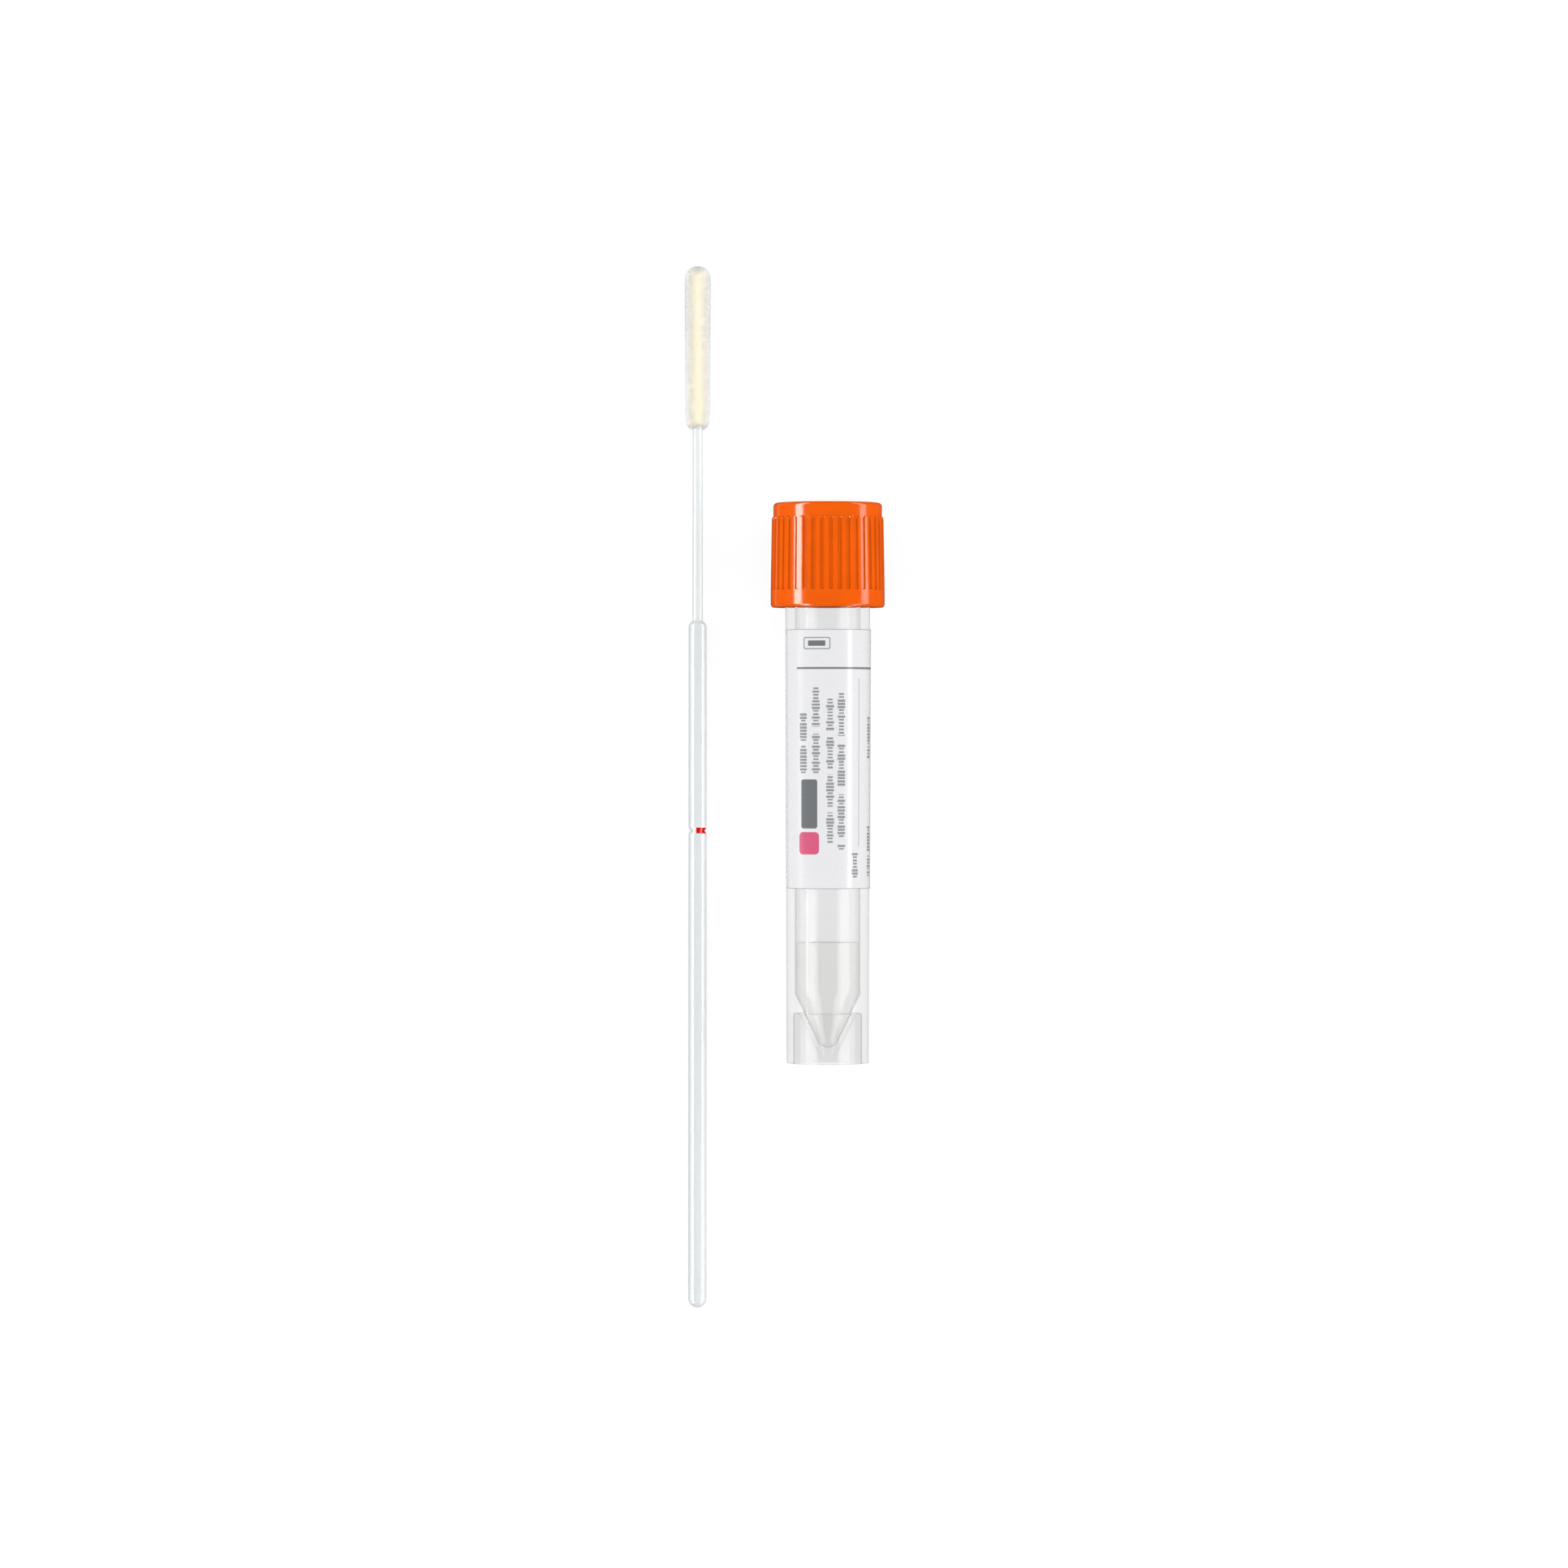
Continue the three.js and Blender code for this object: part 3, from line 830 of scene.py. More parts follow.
class ThreadSizes(bpy.types.PropertyGroup):
    pitch: length("Pitch", "Between neighbouring ridges", 3.0)
    starts: IntProperty(name="Starts", description="Separate ridges round the neck", default=2, min=1)
    depth: length("Depth", "Wall to crest", 0.55)
    root_width: length("Root width", "Width of a ridge at the wall", 1.02)
    crest_width: length("Crest width", "Width of a ridge at its crest", 0.6)
    clearance: length("Clearance", "Crest to root, across", 0.2)
    flank_gap: length("Flank gap", "Between the loaded flanks", 0.15)
    start: length("Start", "First ridge above the shoulder", 2.2)
    rise: length("Rise", "From one end of a ridge to the other", 6.8)


class CapSizes(bpy.types.PropertyGroup):
    wall: length("Wall", "Cavity to the floor of the grooves", 1.82)
    roof: length("Roof", "Thickness over the mouth", 1.3)
    ribs: IntProperty(name="Ribs", description="Ribs round the grip", default=40, min=8)
    rib_turn: angle("Rib turn", "Angle of one rib from the front", -1.607)
    groove_depth: length("Groove depth", "Rib top to groove floor", 0.22)
    groove_width: length("Groove width", "Width of a groove", 0.557)
    groove_flank: length("Groove flank", "Width of the step from rib to groove", 0.093)
    groove_start: length("Groove start", "Smooth band under the grooves", 2.45)
    top_band: length("Top band", "Smooth band over the ribs", 2.05)
    edge_round: length("Edge rounding", "Rounding of the top edge", 0.55)
    lip_height: length("Lip height", "Slope at the mouth", 0.35)
    lip_inset: length("Lip inset", "Narrowing at the mouth", 0.2)
    counterbore: length("Counterbore", "Wider stretch at the mouth", 1.3)
    shoulder_gap: length("Shoulder gap", "Between the cap's mouth and the tube", 0.35)
    catch_wall: length("Catch wall", "Wall of the catch for a broken swab", 1.35)
    catch_length: length("Catch length", "Catch below the roof", 5.0)
    catch_depth: length("Catch depth", "Hole in the catch", 4.5)
    catch_grip: length("Catch clearance", "Clearance on the swab's handle", 0.05)
    catch_funnel: length("Catch funnel", "Widening at the catch's mouth", 0.55)
    funnel_depth: length("Funnel depth", "Depth of that widening", 1.6)
    plastic: colour("Plastic", "Opaque cap", "F45F00")
    seal: colour("Seal", "Sealing ring", "F2F2EE")


class LabelSizes(bpy.types.PropertyGroup):
    start: angle("Start", "Angle from the front", -78)
    end: angle("End", "Angle from the front", 210)
    gap: length("Gap", "Adhesive under the film", 0.05)
    thickness: length("Thickness", "Thickness of the film", 0.1)
    corner: length("Corner", "Rounding of its corners", 1.2)
    film: colour("Film", "Ground of the label", "E8E8EA")
    small_print: colour("Small print", "Bars in place of small print", "8C8F93")
    dark_print: colour("Dark print", "Heavy bars", "74777A")
    rule: colour("Rule", "Lines to write on", "C2C3C6")
    # Grey painted along the film's edges as shade
    painted_edge_shade: colour("Cut edge", "Edge of the film", "A4A5AA")
    patch: colour("Patch", "Coloured patch", "DB5E82")


class SwabSizes(bpy.types.PropertyGroup):
    break_to_tip: length("Break to tip", "Breakpoint to the end of the tip", 81.5)
    break_width: length("Break width", "Width of the groove", 0.85)
    break_depth: length("Break depth", "Depth of the groove", 0.28)
    mark_from: length("Mark from", "Where the paint starts, across the shaft", -0.17)
    neck_to_tip: length("Neck to tip", "Foot of the thin neck to the end of the tip", 52.2)
    shoulder: length("Shoulder", "Height of the slope to the neck", 0.9)
    neck_base: length("Neck base radius", "Thin neck at its foot", 0.73)
    neck_top: length("Neck top radius", "Thin neck under the tip", 0.66)
    head_cover: length("Head cover", "Flock over the end of the shaft", 1.3)
    tip_widest: length("Tip widest", "Widest place, from the end of the tip", 7.0)
    tip_taper: length("Tip taper", "How much thinner in radius the lower end is", 0.1)
    tip_dome: length("Tip dome", "Height of the rounded end", 1.75)
    tip_base_round: length("Tip base round", "Height of the rounding at the lower end", 1.3)
    fibre: length("Fibre length", "Height of the pile", 0.66)
    fibre_radius: length("Fibre radius", "Half the thickness of a fibre", 0.021)
    fibres: number("Fibres", "Fibres on a square millimetre", 125)
    lean: angle("Lean", "How far a fibre leans at most", 16)
    shaft: colour("Shaft", "Shaft plastic", "D8DCDD")
    mark: colour("Mark", "Paint in the breakpoint", "D80404")
    pile: colour("Pile", "Flock fibres", "FFFFFE")
    core: colour("Core", "Adhesive under the fibres", "FFF3D0")
    # Grey painted at the fibres' ends as shade on the rim of the pile
    painted_shade_pile_end: colour("Pile ends", "Outermost ends of the fibres", "D0D1D1")


class StageSettings(bpy.types.PropertyGroup):
    distance: number("Distance", "Camera to the object", 0.95, unit="LENGTH")
    elevation: angle("Elevation", "Camera above the surface", 88.2)
    lens: number("Lens", "Focal length", 152.5, unit="CAMERA")
    ambient: number("Ambient", "Light from all round", 0.88)
    mirrored: number("Mirrored", "Share of the white ground that reflections show", 0.07)
    mirrored_inside: number("Mirrored inside", "The same inside the clear pieces", 0.75)
    panel: number("Panel", "Brightness of the broad panels", 1.0)
    strip: number("Strip", "Brightness of the narrow strips", 9.0)


# --- Shapes of the pieces ---


def body_radius(tube, height):
    """The body's outside, which widens towards the shoulder."""
    foot = tube.bore_radius + tube.body_wall - tube.body_taper
    return foot + tube.body_taper * height / tube.body_height


def neck_radius(tube):
    return tube.bore_radius + tube.neck_wall


def cavity_radius(tube, thread):
    """The cap's inside, between its ridges."""
    return neck_radius(tube) + thread.depth + thread.clearance


def cone_half_angle(tube):
    """Half the angle of the bore's cone, which touches the round well."""
    reach = tube.cone_top - (tube.well_height + tube.well_round)
    slope = math.atan2(tube.bore_radius, reach)
    return slope - math.asin(tube.well_round / math.hypot(tube.bore_radius, reach))


def well(tube, inside):
    """The bore's closed end, from the axis up to the wall, kept that far inside it."""
    angle = cone_half_angle(tube)
    centre = tube.well_height + tube.well_round
    points = arc(0, centre, tube.well_round - inside, -90, -math.degrees(angle))
    radius = tube.bore_radius - inside
    height = tube.cone_top - (inside / math.cos(angle) - inside) / math.tan(angle)
    above = (radius, height + 2 * tube.cone_round)
    return points + rounded((radius, height), points[-1], above, tube.cone_round)


def cone_outside(tube, height):
    """Radius of the cone's outside at a height in the hollow foot."""
    angle = cone_half_angle(tube)
    drop = (tube.cone_top - height) * math.tan(angle)
    return tube.bore_radius - drop + tube.cone_wall / math.cos(angle)


def foot_reach(tube):
    """The height of the hollow foot, and a radius between its cone and its skirt."""
    skirt = body_radius(tube, 0) - tube.skirt_wall
    cone = cone_outside(tube, tube.skirt_depth)
    return SimpleNamespace(height=tube.skirt_depth, radius=(skirt + cone) / 2)


def tube_profile(tube, mouth):
    """The outside from the cone's end to the mouth, and the bore back to the axis."""
    top_radius = tube.bore_radius + tube.body_wall
    neck = neck_radius(tube)
    foot_radius = body_radius(tube, 0)
    skirt_radius = foot_radius - tube.skirt_wall
    step = (tube.body_wall - tube.neck_wall) / 2
    soft = tube.foot_round
    outside = outline(
        (0, tube.cone_tip, 0),
        (cone_outside(tube, tube.cone_tip), tube.cone_tip, soft / 2),
        (cone_outside(tube, tube.skirt_depth), tube.skirt_depth, soft),
        (skirt_radius, tube.skirt_depth, soft),
        (skirt_radius, 0, soft / 2),
        (foot_radius, 0, soft),
        (top_radius, tube.body_height - step, soft),
        (neck, tube.body_height + step, soft / 2),
        (neck, mouth, tube.mouth_round),
        (tube.bore_radius, mouth, tube.mouth_round),
        (tube.bore_radius, tube.cone_top + 3 * tube.cone_round, 0),
    )
    return outside + list(reversed(well(tube, 0)))


def medium_profile(tube, top):
    """The medium fills the well and curls up a little where it meets the wall."""
    radius = tube.bore_radius - tube.medium_gap
    curl = 1.2 * MM
    rim = (radius - curl, top + tube.meniscus, curl, 0, -90)
    surface = arc(*rim, size_up=tube.meniscus, steps=ARC_STEPS)
    return well(tube, tube.medium_gap) + surface + [(0, top)]


def grip_reach(cap, size):
    """Where the grooves start, where the ribs end, and the end of the slope above them."""
    end = size.top - cap.top_band
    start = size.bottom + cap.groove_start
    return SimpleNamespace(start=start, end=end, limit=end + cap.groove_flank)


def cap_profile(cap, cavity, widest, swab_radius, size):
    """The cap's section, from the floor of its catch round the cavity to the top of the roof."""
    floor = cavity + cap.wall
    ceiling = size.top - cap.roof
    catch_bore = swab_radius + cap.catch_grip
    catch_radius = catch_bore + cap.catch_wall
    catch_mouth = ceiling - cap.catch_length
    mouth = max(widest, cavity) + cap.shoulder_gap
    counter = size.bottom + cap.counterbore
    lip = size.bottom + cap.lip_height
    grip = grip_reach(cap, size)
    soft = 0.15 * MM
    return outline(
        (0, catch_mouth + cap.catch_depth, 0),
        (catch_bore, catch_mouth + cap.catch_depth, soft),
        (catch_bore, catch_mouth + cap.funnel_depth, 2 * soft),
        (catch_bore + cap.catch_funnel, catch_mouth, soft),
        (catch_radius, catch_mouth, soft),
        (catch_radius, ceiling, soft),
        (cavity, ceiling, soft),
        (cavity, counter + mouth - cavity, 0),
        (mouth, counter, soft),
        (mouth, size.bottom, soft),
        (size.outer - cap.lip_inset, size.bottom, soft),
        (size.outer, lip, soft),
        (size.outer, grip.start, 0),
        (floor + cap.groove_depth, grip.limit, 0),
        (floor, grip.limit + 0.01 * MM, 0),
        (floor, size.top, cap.edge_round),
        (0, size.top, 0),
    )


def cut_grip(profile, grip, flank):
    """Rows where the grooves start and where the ribs end, and few between."""
    first = grip.start + 3 * flank
    last = grip.end - 0.5 * MM
    points = []
    for (r0, h0), (r1, h1) in zip(profile, profile[1:]):
        points.append((r0, h0))
        if abs(h0 - grip.start) < NEAR:
            for height in (first, last):
                points.append((r0 + (r1 - r0) * (height - h0) / (h1 - h0), height))
    points.append(profile[-1])
    points = in_rows(points, grip.start, first, RIB_ROW)
    points = in_rows(points, first, last, 1.5 * MM)
    return in_rows(points, last, grip.limit, RIB_ROW)


def ring_profile(size):
    """A flat washer with softened edges."""
    middle = (size.inner + size.outer) / 2
    soft = 0.12 * MM
    return outline(
        (middle, size.bottom, 0),
        (size.outer, size.bottom, soft),
        (size.outer, size.top, soft),
        (size.inner, size.top, soft),
        (size.inner, size.bottom, soft),
        (middle, size.bottom, 0),
    )


def shaft_profile(swab, radius, top):
    """Handle, breakpoint, shoulder and thin neck, with the end that the flock covers."""
    end = top + swab.head_cover
    breakpoint = end - swab.break_to_tip
    half = swab.break_width / 2
    neck_foot = end - swab.neck_to_tip
    neck = neck_foot + swab.shoulder
    slope = radius - swab.neck_base
    shaft = outline(
        (radius, radius, 0),
        (radius, breakpoint - half, 0.1 * MM),
        (radius - swab.break_depth, breakpoint, 0.08 * MM),
        (radius, breakpoint + half, 0.1 * MM),
        (radius, neck - slope, 0.45 * MM),
        (swab.neck_base, neck, 0.12 * MM),
        (swab.neck_top, top - swab.neck_top, 0),
    )
    head = arc(0, top - swab.neck_top, swab.neck_top, 0, 90)
    return arc(0, radius, radius, -90, 0)[:-1] + shaft + head[1:]


def core_profile(swab, size):
    """The body under the flock: the tip's shape less the height of the pile."""
    widest = size.outer - swab.fibre
    base = widest - swab.tip_taper
    dome = swab.tip_dome - swab.fibre
    bottom = size.bottom + 0.4 * swab.fibre
    round_up = swab.tip_base_round
    neck = 1.05 * swab.neck_top
    start = arc(neck, bottom + round_up, base - neck, -90, 0, size_up=round_up)
    end = arc(0, size.top - swab.tip_dome, widest, 0, 90, size_up=dome)
    return [(0, bottom)] + start + [(widest, size.top - swab.tip_widest)] + end


def label_mesh(label, size, tube):
    """A film with rounded corners, wrapped round the body, with its own flat coordinates."""
    middle = (body_radius(tube, size.bottom) + body_radius(tube, size.top)) / 2
    span = (label.end - label.start) * middle
    bends = [math.radians(90 / LABEL_CORNER_STEPS * i) for i in range(LABEL_CORNER_STEPS + 1)]
    near = [label.corner * (1 - math.cos(bend)) for bend in bends]
    far = [span - distance for distance in reversed(near)]
    straight = span - 2 * label.corner
    inner = [label.corner + straight * i / LABEL_STEPS for i in range(1, LABEL_STEPS)]
    stations = near + inner + far
    points, flat = [], []
    for lift in (label.gap + label.thickness, label.gap):
        for along in stations:
            to_end = min(along, span - along, label.corner)
            cut = label.corner - math.sqrt(label.corner**2 - (label.corner - to_end) ** 2)
            angle = label.start + along / middle
            for j in range(LABEL_ROWS + 1):
                height = size.bottom + cut + (size.top - size.bottom - 2 * cut) * j / LABEL_ROWS
                radius = body_radius(tube, height) + lift
                points.append((radius * math.sin(angle), -radius * math.cos(angle), height))
                flat.append((angle * middle / MM, (size.top - height) / MM))
    count, row = len(stations), LABEL_ROWS + 1
    back = count * row
    faces = []
    for i in range(count - 1):
        for j in range(LABEL_ROWS):
            a, b = i * row + j, (i + 1) * row + j
            faces.append((a, b, b + 1, a + 1))
            faces.append((back + a, back + a + 1, back + b + 1, back + b))
        for j, turn in ((0, 1), (LABEL_ROWS, -1)):
            a, b = i * row + j, (i + 1) * row + j
            faces.append((a, back + a, back + b, b)[::turn])
    for i, turn in ((0, 1), (count - 1, -1)):
        for j in range(LABEL_ROWS):
            a = i * row + j
            faces.append((a, a + 1, back + a + 1, back + a)[::turn])
    mesh = bpy.data.meshes.new("label")
    mesh.from_pydata(points, [], faces)
    chart = mesh.uv_layers.new(name="label")
    for loop in mesh.loops:
        chart.uv[loop.index].vector = flat[loop.vertex_index]
    return mesh


def threaded(mesh, scene, wall, depth, drop, plastic):
    """Works the screw thread into one wall of a mesh: outward, or inward for a depth below 0."""
    tube, thread = scene.specimen_tube, scene.specimen_thread
    return worked(
        mesh,
        "Screw thread",
        wall_radius=wall,
        depth=depth,
        lead=thread.pitch * thread.starts,
        starts=float(thread.starts),
        root_width=thread.root_width,
        crest_width=thread.crest_width,
        bottom=tube.body_height + thread.start,
        rise=thread.rise,
        drop=drop,
        finish=plastic,
    )


def pile_normals(mesh, reach):
    """Directions out of the tip as a whole, because light wanders through the pile."""
    normals = []
    for vertex in mesh.vertices:
        on_axis = Vector((0, 0, min(max(vertex.co.z, reach.low), reach.high)))
        normals.append((vertex.co - on_axis).normalized())
    return normals


# --- Operators ---


class SPECIMEN_OT_tube(bpy.types.Operator):
    """Makes the clear tube, with its threaded neck, cone and hollow foot"""

    bl_idname = "specimen.tube"
    bl_label = "Tube"

    def execute(self, context):
        tube, thread = context.scene.specimen_tube, context.scene.specimen_thread
        place = tube_place()
        top = measured("tube", place).top
        wall = neck_radius(tube)
        profile = in_rows(tube_profile(tube, top), tube.body_height, top, THREAD_ROW, wall - NEAR)
        blank = turned("tube", profile, TUBE_SIDES)
        # Wall, painted-shade skirt and painted-light cone tints of one clear plastic
        painted_tone_tints = (tube.wall, tube.skirt, tube.cone)
        look = {"ior": 1.04, "coat": 0.22, "streaks": 0.004}
        plastic = clear_finish("clear_plastic", place, painted_tone_tints, foot_reach(tube), **look)
        mesh = threaded(blank, context.scene, wall, thread.depth, 0.0, plastic)
        put_in_place("tube", smooth(mesh), place, TUBE_BODY, "clear_plastic")
        return {"FINISHED"}


class SPECIMEN_OT_medium(bpy.types.Operator):
    """Fills the closed end with transport medium"""

    bl_idname = "specimen.medium"
    bl_label = "Transport medium"

    def execute(self, context):
        tube = context.scene.specimen_tube
        place = tube_place()
        size = measured("transport_medium", place)
        mesh = turned("medium", medium_profile(tube, size.top), TUBE_SIDES)
        # Medium, with a painted-light lighter tint low in the cone
        painted_tone_tints = (tube.medium, tube.well, tube.well)
        look = {"ior": 1.06, "coat": 0.15, "streaks": 0.002}
        liquid = clear_finish("medium", place, painted_tone_tints, foot_reach(tube), **look)
        put_in_place("transport_medium", smooth(mesh), place, TUBE_BODY, "medium", liquid)
        return {"FINISHED"}


class SPECIMEN_OT_label(bpy.types.Operator):
    """Wraps the printed film round the tube"""

    bl_idname = "specimen.label"
    bl_label = "Label"

    def execute(self, context):
        tube, label = context.scene.specimen_tube, context.scene.specimen_label
        place = tube_place()
        size = measured("label", place)
        mesh = label_mesh(label, size, tube)
        middle = body_radius(tube, (size.bottom + size.top) / 2)
        reach = SimpleNamespace(
            left=label.start * middle / MM,
            right=label.end * middle / MM,
            down=(size.top - size.bottom) / MM,
            corner=label.corner / MM,
        )
        film = label_finish(label, reach)
        wrap = put_in_place("label", smooth(mesh), place, TUBE_BODY, "label_film", film)
        wrap.visible_shadow = False
        return {"FINISHED"}


class SPECIMEN_OT_cap(bpy.types.Operator):
    """Makes the ribbed screw cap, with its thread and catch, and the sealing ring"""

    bl_idname = "specimen.cap"
    bl_label = "Cap and seal"

    def execute(self, context):
        scene = context.scene
        tube, thread, cap = scene.specimen_tube, scene.specimen_thread, scene.specimen_cap
        place = tube_place()
        size = measured("screw_cap", place)
        low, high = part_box("swab_shaft")
        cavity = cavity_radius(tube, thread)
        widest = tube.bore_radius + tube.body_wall
        profile = cap_profile(cap, cavity, widest, (high.x - low.x) / 2, size)
        grip = grip_reach(cap, size)
        split = next(i for i, point in enumerate(profile) if point[0] > cavity + NEAR)
        inner, outer = profile[:split], profile[split:]
        inner = in_rows(inner, size.bottom, size.top - cap.roof, THREAD_ROW, cavity - NEAR)
        outer = cut_grip(outer, grip, cap.groove_flank)
        plastic = cap_finish(cap.plastic)
        ribbed = worked(
            turned("cap_inside_and_grip", inner + outer, CAP_SIDES),
            "Grip ribs",
            ribs=float(cap.ribs),
            turn=-0.25 + cap.rib_turn / FULL_TURN,
            groove_width=cap.groove_width,
            depth=cap.groove_depth,
            flank=cap.groove_flank,
            bottom=grip.start,
            rib_top=grip.end,
            limit=grip.limit + 0.001 * MM,
            inner_limit=cavity + cap.wall,
            finish=plastic,
        )
        below = (thread.root_width + thread.crest_width) / 2 + thread.flank_gap
        mesh = threaded(ribbed, scene, cavity, -thread.depth, below, plastic)
        put_in_place("screw_cap", smooth(mesh), place, "cap", "cap_plastic")
        ring = turned("ring", ring_profile(measured("sealing_ring", place)), TUBE_SIDES)
        put_in_place("sealing_ring", smooth(ring), place, "ring", "seal", seal_finish(cap.seal))
        return {"FINISHED"}


class SPECIMEN_OT_shaft(bpy.types.Operator):
    """Makes the swab's shaft, with its breakpoint and painted mark"""

    bl_idname = "specimen.shaft"
    bl_label = "Swab shaft"

    def execute(self, context):
        swab = context.scene.specimen_swab
        place = swab_place(swab.tip_widest)
        size = measured("swab_shaft", place)
        mesh = turned("shaft", shaft_profile(swab, size.outer, size.top), SWAB_SIDES)
        break_height = size.top + swab.head_cover - swab.break_to_tip
        mark = SimpleNamespace(height=break_height, width=swab.break_width, side=swab.mark_from)
        plastic = shaft_finish(place, swab.shaft, swab.mark, mark)
        put_in_place("swab_shaft", smooth(mesh, 50), place, TUBE_BODY, "shaft_plastic", plastic)
        return {"FINISHED"}


class SPECIMEN_OT_tip(bpy.types.Operator):
    """Makes the flocked tip: short fibres standing on a core"""

    bl_idname = "specimen.tip"
    bl_label = "Flocked tip"

    def execute(self, context):
        swab = context.scene.specimen_swab
        place = swab_place(swab.tip_widest)
        size = measured("flocked_tip", place)
        core = turned("core", core_profile(swab, size), SWAB_SIDES)
        reach = SimpleNamespace(
            low=size.bottom + swab.tip_base_round,
            high=size.top - swab.tip_dome,
            root=size.outer - swab.fibre,
            # From here out to the fibres' ends the colour turns to painted shade.
            end=size.outer - 0.4 * swab.fibre,
            tip=size.outer,
        )
        pile = worked(
            core,
            "Flock",
            density=swab.fibres / MM**2,
            fibre_length=swab.fibre,
            fibre_radius=swab.fibre_radius,
            lean=swab.lean,
            seed=SPREAD_SEED,
            finish=fibre_finish(place, swab, reach),
        )
        pile.shade_smooth()
        pile.normals_split_custom_set_from_vertices(pile_normals(pile, reach))
        fibres = put_in_place("flocked_tip", pile, place, TUBE_BODY, "flock")
        fibres.visible_shadow = False
        fibres.visible_diffuse = False
        core.transform(place)
        core.materials.append(core_finish(swab.core))
        base = add_object("flock_core", smooth(core))
        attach(base, TUBE_BODY)
        return {"FINISHED"}


class SPECIMEN_OT_stage(bpy.types.Operator):
    """Adds the pale surface, the lamps, the surroundings and the camera"""

    bl_idname = "specimen.stage"
    bl_label = "Stage"

    def execute(self, context):
        stage = context.scene.specimen_stage
        low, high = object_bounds()
        centre = (low + high) / 2
        add_floor(low.z, stage)
        add_surroundings(stage)
        add_lamps(stage, centre)
        add_camera(stage, centre)
        context.scene.view_settings.view_transform = "Standard"
        return {"FINISHED"}


# --- The stage ---


def kinds_of_ray(tree, stage):
    """1 for rays that show a thing itself or through glass, 1 for rays off a mirror, and the
    share of white that a mirror shows, which is more inside the clear pieces."""
    path = put(tree, "ShaderNodeLightPath")
    direct = out(path, "Is Camera Ray").work("MAXIMUM", out(path, "Is Transmission Ray"))
    inside = out(path, "Transmission Depth") > 0.5
    shown = out(put(tree, "ShaderNodeMix", inside, stage.mirrored, stage.mirrored_inside))
    return direct, out(path, "Is Glossy Ray"), shown


def add_floor(height, stage):
    """A broad pale surface that looks white and keeps a light shadow."""
    half = 3.0
    mesh = bpy.data.meshes.new("floor")
    corners = [(-half, -half), (half, -half), (half, half), (-half, half)]
    mesh.from_pydata([(x, y, height) for x, y in corners], [], [(0, 1, 2, 3)])
    floor = add_object("floor", mesh)
    material, tree = new_material("pale_surface")
    direct, mirror, shown = kinds_of_ray(tree, stage)
    white = out(put(tree, "ShaderNodeAddShader", diffuse(tree, 0.2), glow(tree, 0.84)))
    unseen = out(put(tree, "ShaderNodeMixShader", mirror, diffuse(tree, 0.8), glow(tree, shown)))
    show(out(put(tree, "ShaderNodeMixShader", direct, unseen, white)))
    mesh.materials.append(material)
    floor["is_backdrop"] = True


def add_surroundings(stage):
    """White where it is seen, and a soft light that fades towards both ends of the set."""
    world = bpy.data.worlds.new("surroundings")
    bpy.context.scene.world = world
    world.cycles.sampling_method = "NONE"
    tree = emptied(world)
    direct, mirror, shown = kinds_of_ray(tree, stage)
    endways = apart(out(put(tree, "ShaderNodeTexCoord"), "Generated"))[1]
    ambient = (1.25 - endways * endways) * stage.ambient
    unseen = out(put(tree, "ShaderNodeMix", mirror, ambient, shown))
    light = out(put(tree, "ShaderNodeBackground", WHITE, direct.work("MAXIMUM", unseen)))
    put(tree, "ShaderNodeOutputWorld", light)


def add_lamps(stage, centre):
    """Soft panels light the pieces, and the other lamps only shine in their gloss. Each finish
    has its own lamps, which other pieces and the ground don't keep from it."""
    clear = named_set("clear", "tube_piece", "transport_medium_piece")
    cap = named_set("cap", "screw_cap_piece", "sealing_ring_piece")
    label = named_set("label", "label_piece")
    pile = named_set("pile", "flocked_tip_piece")
    shaft = named_set("shaft", "swab_shaft_piece", "flock_core")
    swab = named_set("swab", "swab_shaft_piece", "flock_core", "flocked_tip_piece")
    meshes = [thing.name for thing in bpy.context.scene.objects if thing.type == "MESH"]
    others = named_set("all but the swab", *(name for name in meshes if name not in swab.objects))
    left, right = -1, 1
    # Name, side, angles, share of the brightness, what it lights, and what shades it
    for name, *where, share, lit, in_the_way in (
        ("left_panel", left, (50, 88), 1.0, None, None),
        ("right_panel", right, (50, 88), 1.0, others, None),
        ("shaft_panel", right, (50, 88), 1.8, shaft, swab),
        ("pile_panel_left", left, (50, 88), 1.6, pile, swab),
        ("pile_panel_right", right, (50, 88), 2.5, pile, swab),
        ("cap_strip_left", left, (54, 71), 2.6, cap, cap),
        ("cap_strip_right", right, (72, 89), 0.8, cap, cap),
        ("label_strip_left", left, (71, 86), 0.2, label, label),
        ("label_strip_right", right, (55, 68), 0.7, label, label),
        ("shaft_strip_left", left, (48, 89), 0.6, swab, swab),
        ("shaft_strip_right", right, (58, 89), 0.5, swab, swab),
        ("card_left", left, (35, 84), 0.55, clear, None),
        ("card_right", right, (35, 84), 0.62, clear, None),
        ("line", left, (59.5, 61), 5.0, clear, None),
    ):
        soft = "panel" in name
        brightness = share * (stage.panel if soft else stage.strip)
        add_lamp(name, centre, *where, brightness, lit, in_the_way, soft)


def named_set(name, *pieces):
    """A collection for lamps, outside the scene's own."""
    chosen = bpy.data.collections.new(name)
    for piece in pieces:
        chosen.objects.link(bpy.data.objects[piece])
    return chosen


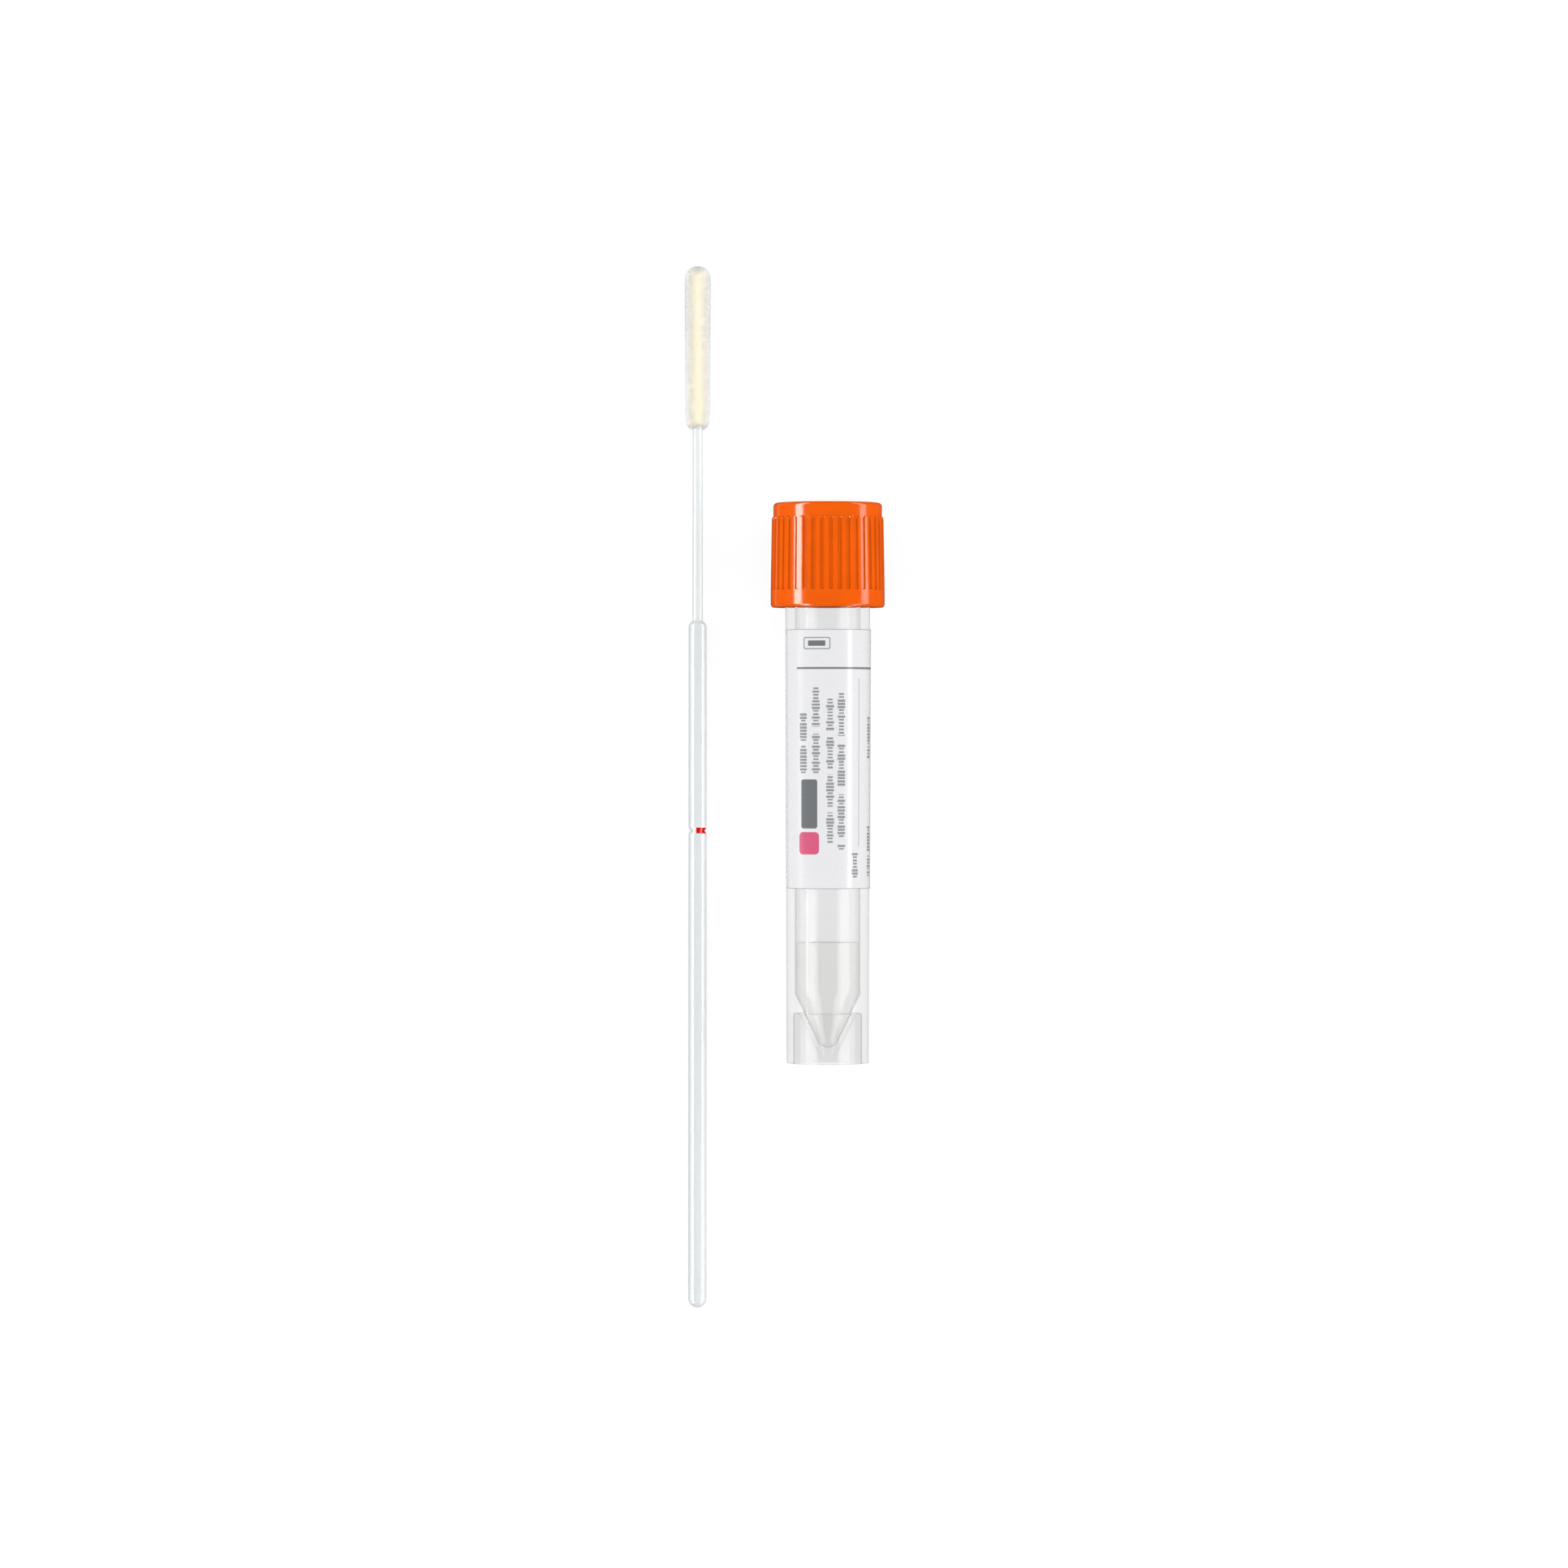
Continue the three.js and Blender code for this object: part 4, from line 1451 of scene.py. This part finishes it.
def add_lamp(name, centre, side, angles, brightness, lit, in_the_way, soft):
    """A long lamp beside the object, between two angles from overhead, on one side.
    A soft one lights the pieces, and any other one only shines in their gloss."""
    start, end = angles
    middle = math.radians((start + end) / 2)
    distance = 0.6
    lamp = bpy.data.lights.new(name, "AREA")
    lamp.shape = "RECTANGLE"
    lamp.size = 2 * distance * math.tan(math.radians((end - start) / 2))
    lamp.size_y = 1.0 if soft else 2.0
    lamp.energy = brightness * math.pi * lamp.size * lamp.size_y
    lamp.cycles.use_multiple_importance_sampling = not soft or lit is None
    if not soft:
        keep_off_the_ground(lamp)
    thing = add_object(name, lamp)
    away = Vector((side * math.sin(middle), 0, math.cos(middle)))
    thing.location = centre + distance * away
    thing.rotation_euler = (0, side * middle, 0)
    thing.visible_camera = False
    thing.visible_transmission = False
    thing.visible_diffuse = soft
    thing.visible_glossy = not soft
    thing.light_linking.receiver_collection = lit
    thing.light_linking.blocker_collection = in_the_way


def keep_off_the_ground(lamp):
    """Stops a lamp from lighting the ground through the clear pieces."""
    tree = emptied(lamp)
    bounces = out(put(tree, "ShaderNodeLightPath"), "Diffuse Depth")
    put(tree, "ShaderNodeOutputLight", glow(tree, bounces < 0.5))


def add_camera(stage, centre):
    """Looks down on the set as it lies."""
    camera = bpy.data.cameras.new("camera")
    camera.lens = stage.lens
    camera.clip_start = 0.01
    thing = add_object("camera", camera)
    away = Vector((0, -math.cos(stage.elevation), math.sin(stage.elevation)))
    thing.location = centre + stage.distance * away
    thing.rotation_euler = (math.pi / 2 - stage.elevation, 0, 0)
    bpy.context.scene.camera = thing


# --- Panel and registration ---


class SPECIMEN_PT_panel(bpy.types.Panel):
    """Lists the operators in the order in which they run"""

    bl_idname = "SPECIMEN_PT_panel"
    bl_label = "Specimen tube set"
    bl_space_type = "VIEW_3D"
    bl_region_type = "UI"
    bl_category = "Specimen"

    def draw(self, context):
        for operator in OPERATORS:
            self.layout.operator(operator.bl_idname)


SETTINGS = {
    "specimen_tube": TubeSizes,
    "specimen_thread": ThreadSizes,
    "specimen_cap": CapSizes,
    "specimen_label": LabelSizes,
    "specimen_swab": SwabSizes,
    "specimen_stage": StageSettings,
}
OPERATORS = [
    SPECIMEN_OT_tube,
    SPECIMEN_OT_medium,
    SPECIMEN_OT_label,
    SPECIMEN_OT_cap,
    SPECIMEN_OT_shaft,
    SPECIMEN_OT_tip,
    SPECIMEN_OT_stage,
]


def register():
    for kind in (*SETTINGS.values(), *OPERATORS, SPECIMEN_PT_panel):
        bpy.utils.register_class(kind)
    for name, kind in SETTINGS.items():
        setattr(bpy.types.Scene, name, PointerProperty(type=kind))


def unregister():
    for name in SETTINGS:
        delattr(bpy.types.Scene, name)
    for kind in (SPECIMEN_PT_panel, *reversed(OPERATORS), *reversed(SETTINGS.values())):
        bpy.utils.unregister_class(kind)


def main():
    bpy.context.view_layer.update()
    register()
    for make_tree in (thread_tree, grip_tree, flock_tree, grain_group, flow_group, bar_group):
        make_tree()
    bpy.ops.specimen.tube()
    bpy.ops.specimen.medium()
    bpy.ops.specimen.label()
    bpy.ops.specimen.cap()
    bpy.ops.specimen.shaft()
    bpy.ops.specimen.tip()
    bpy.ops.specimen.stage()


if __name__ == "__main__":
    main()
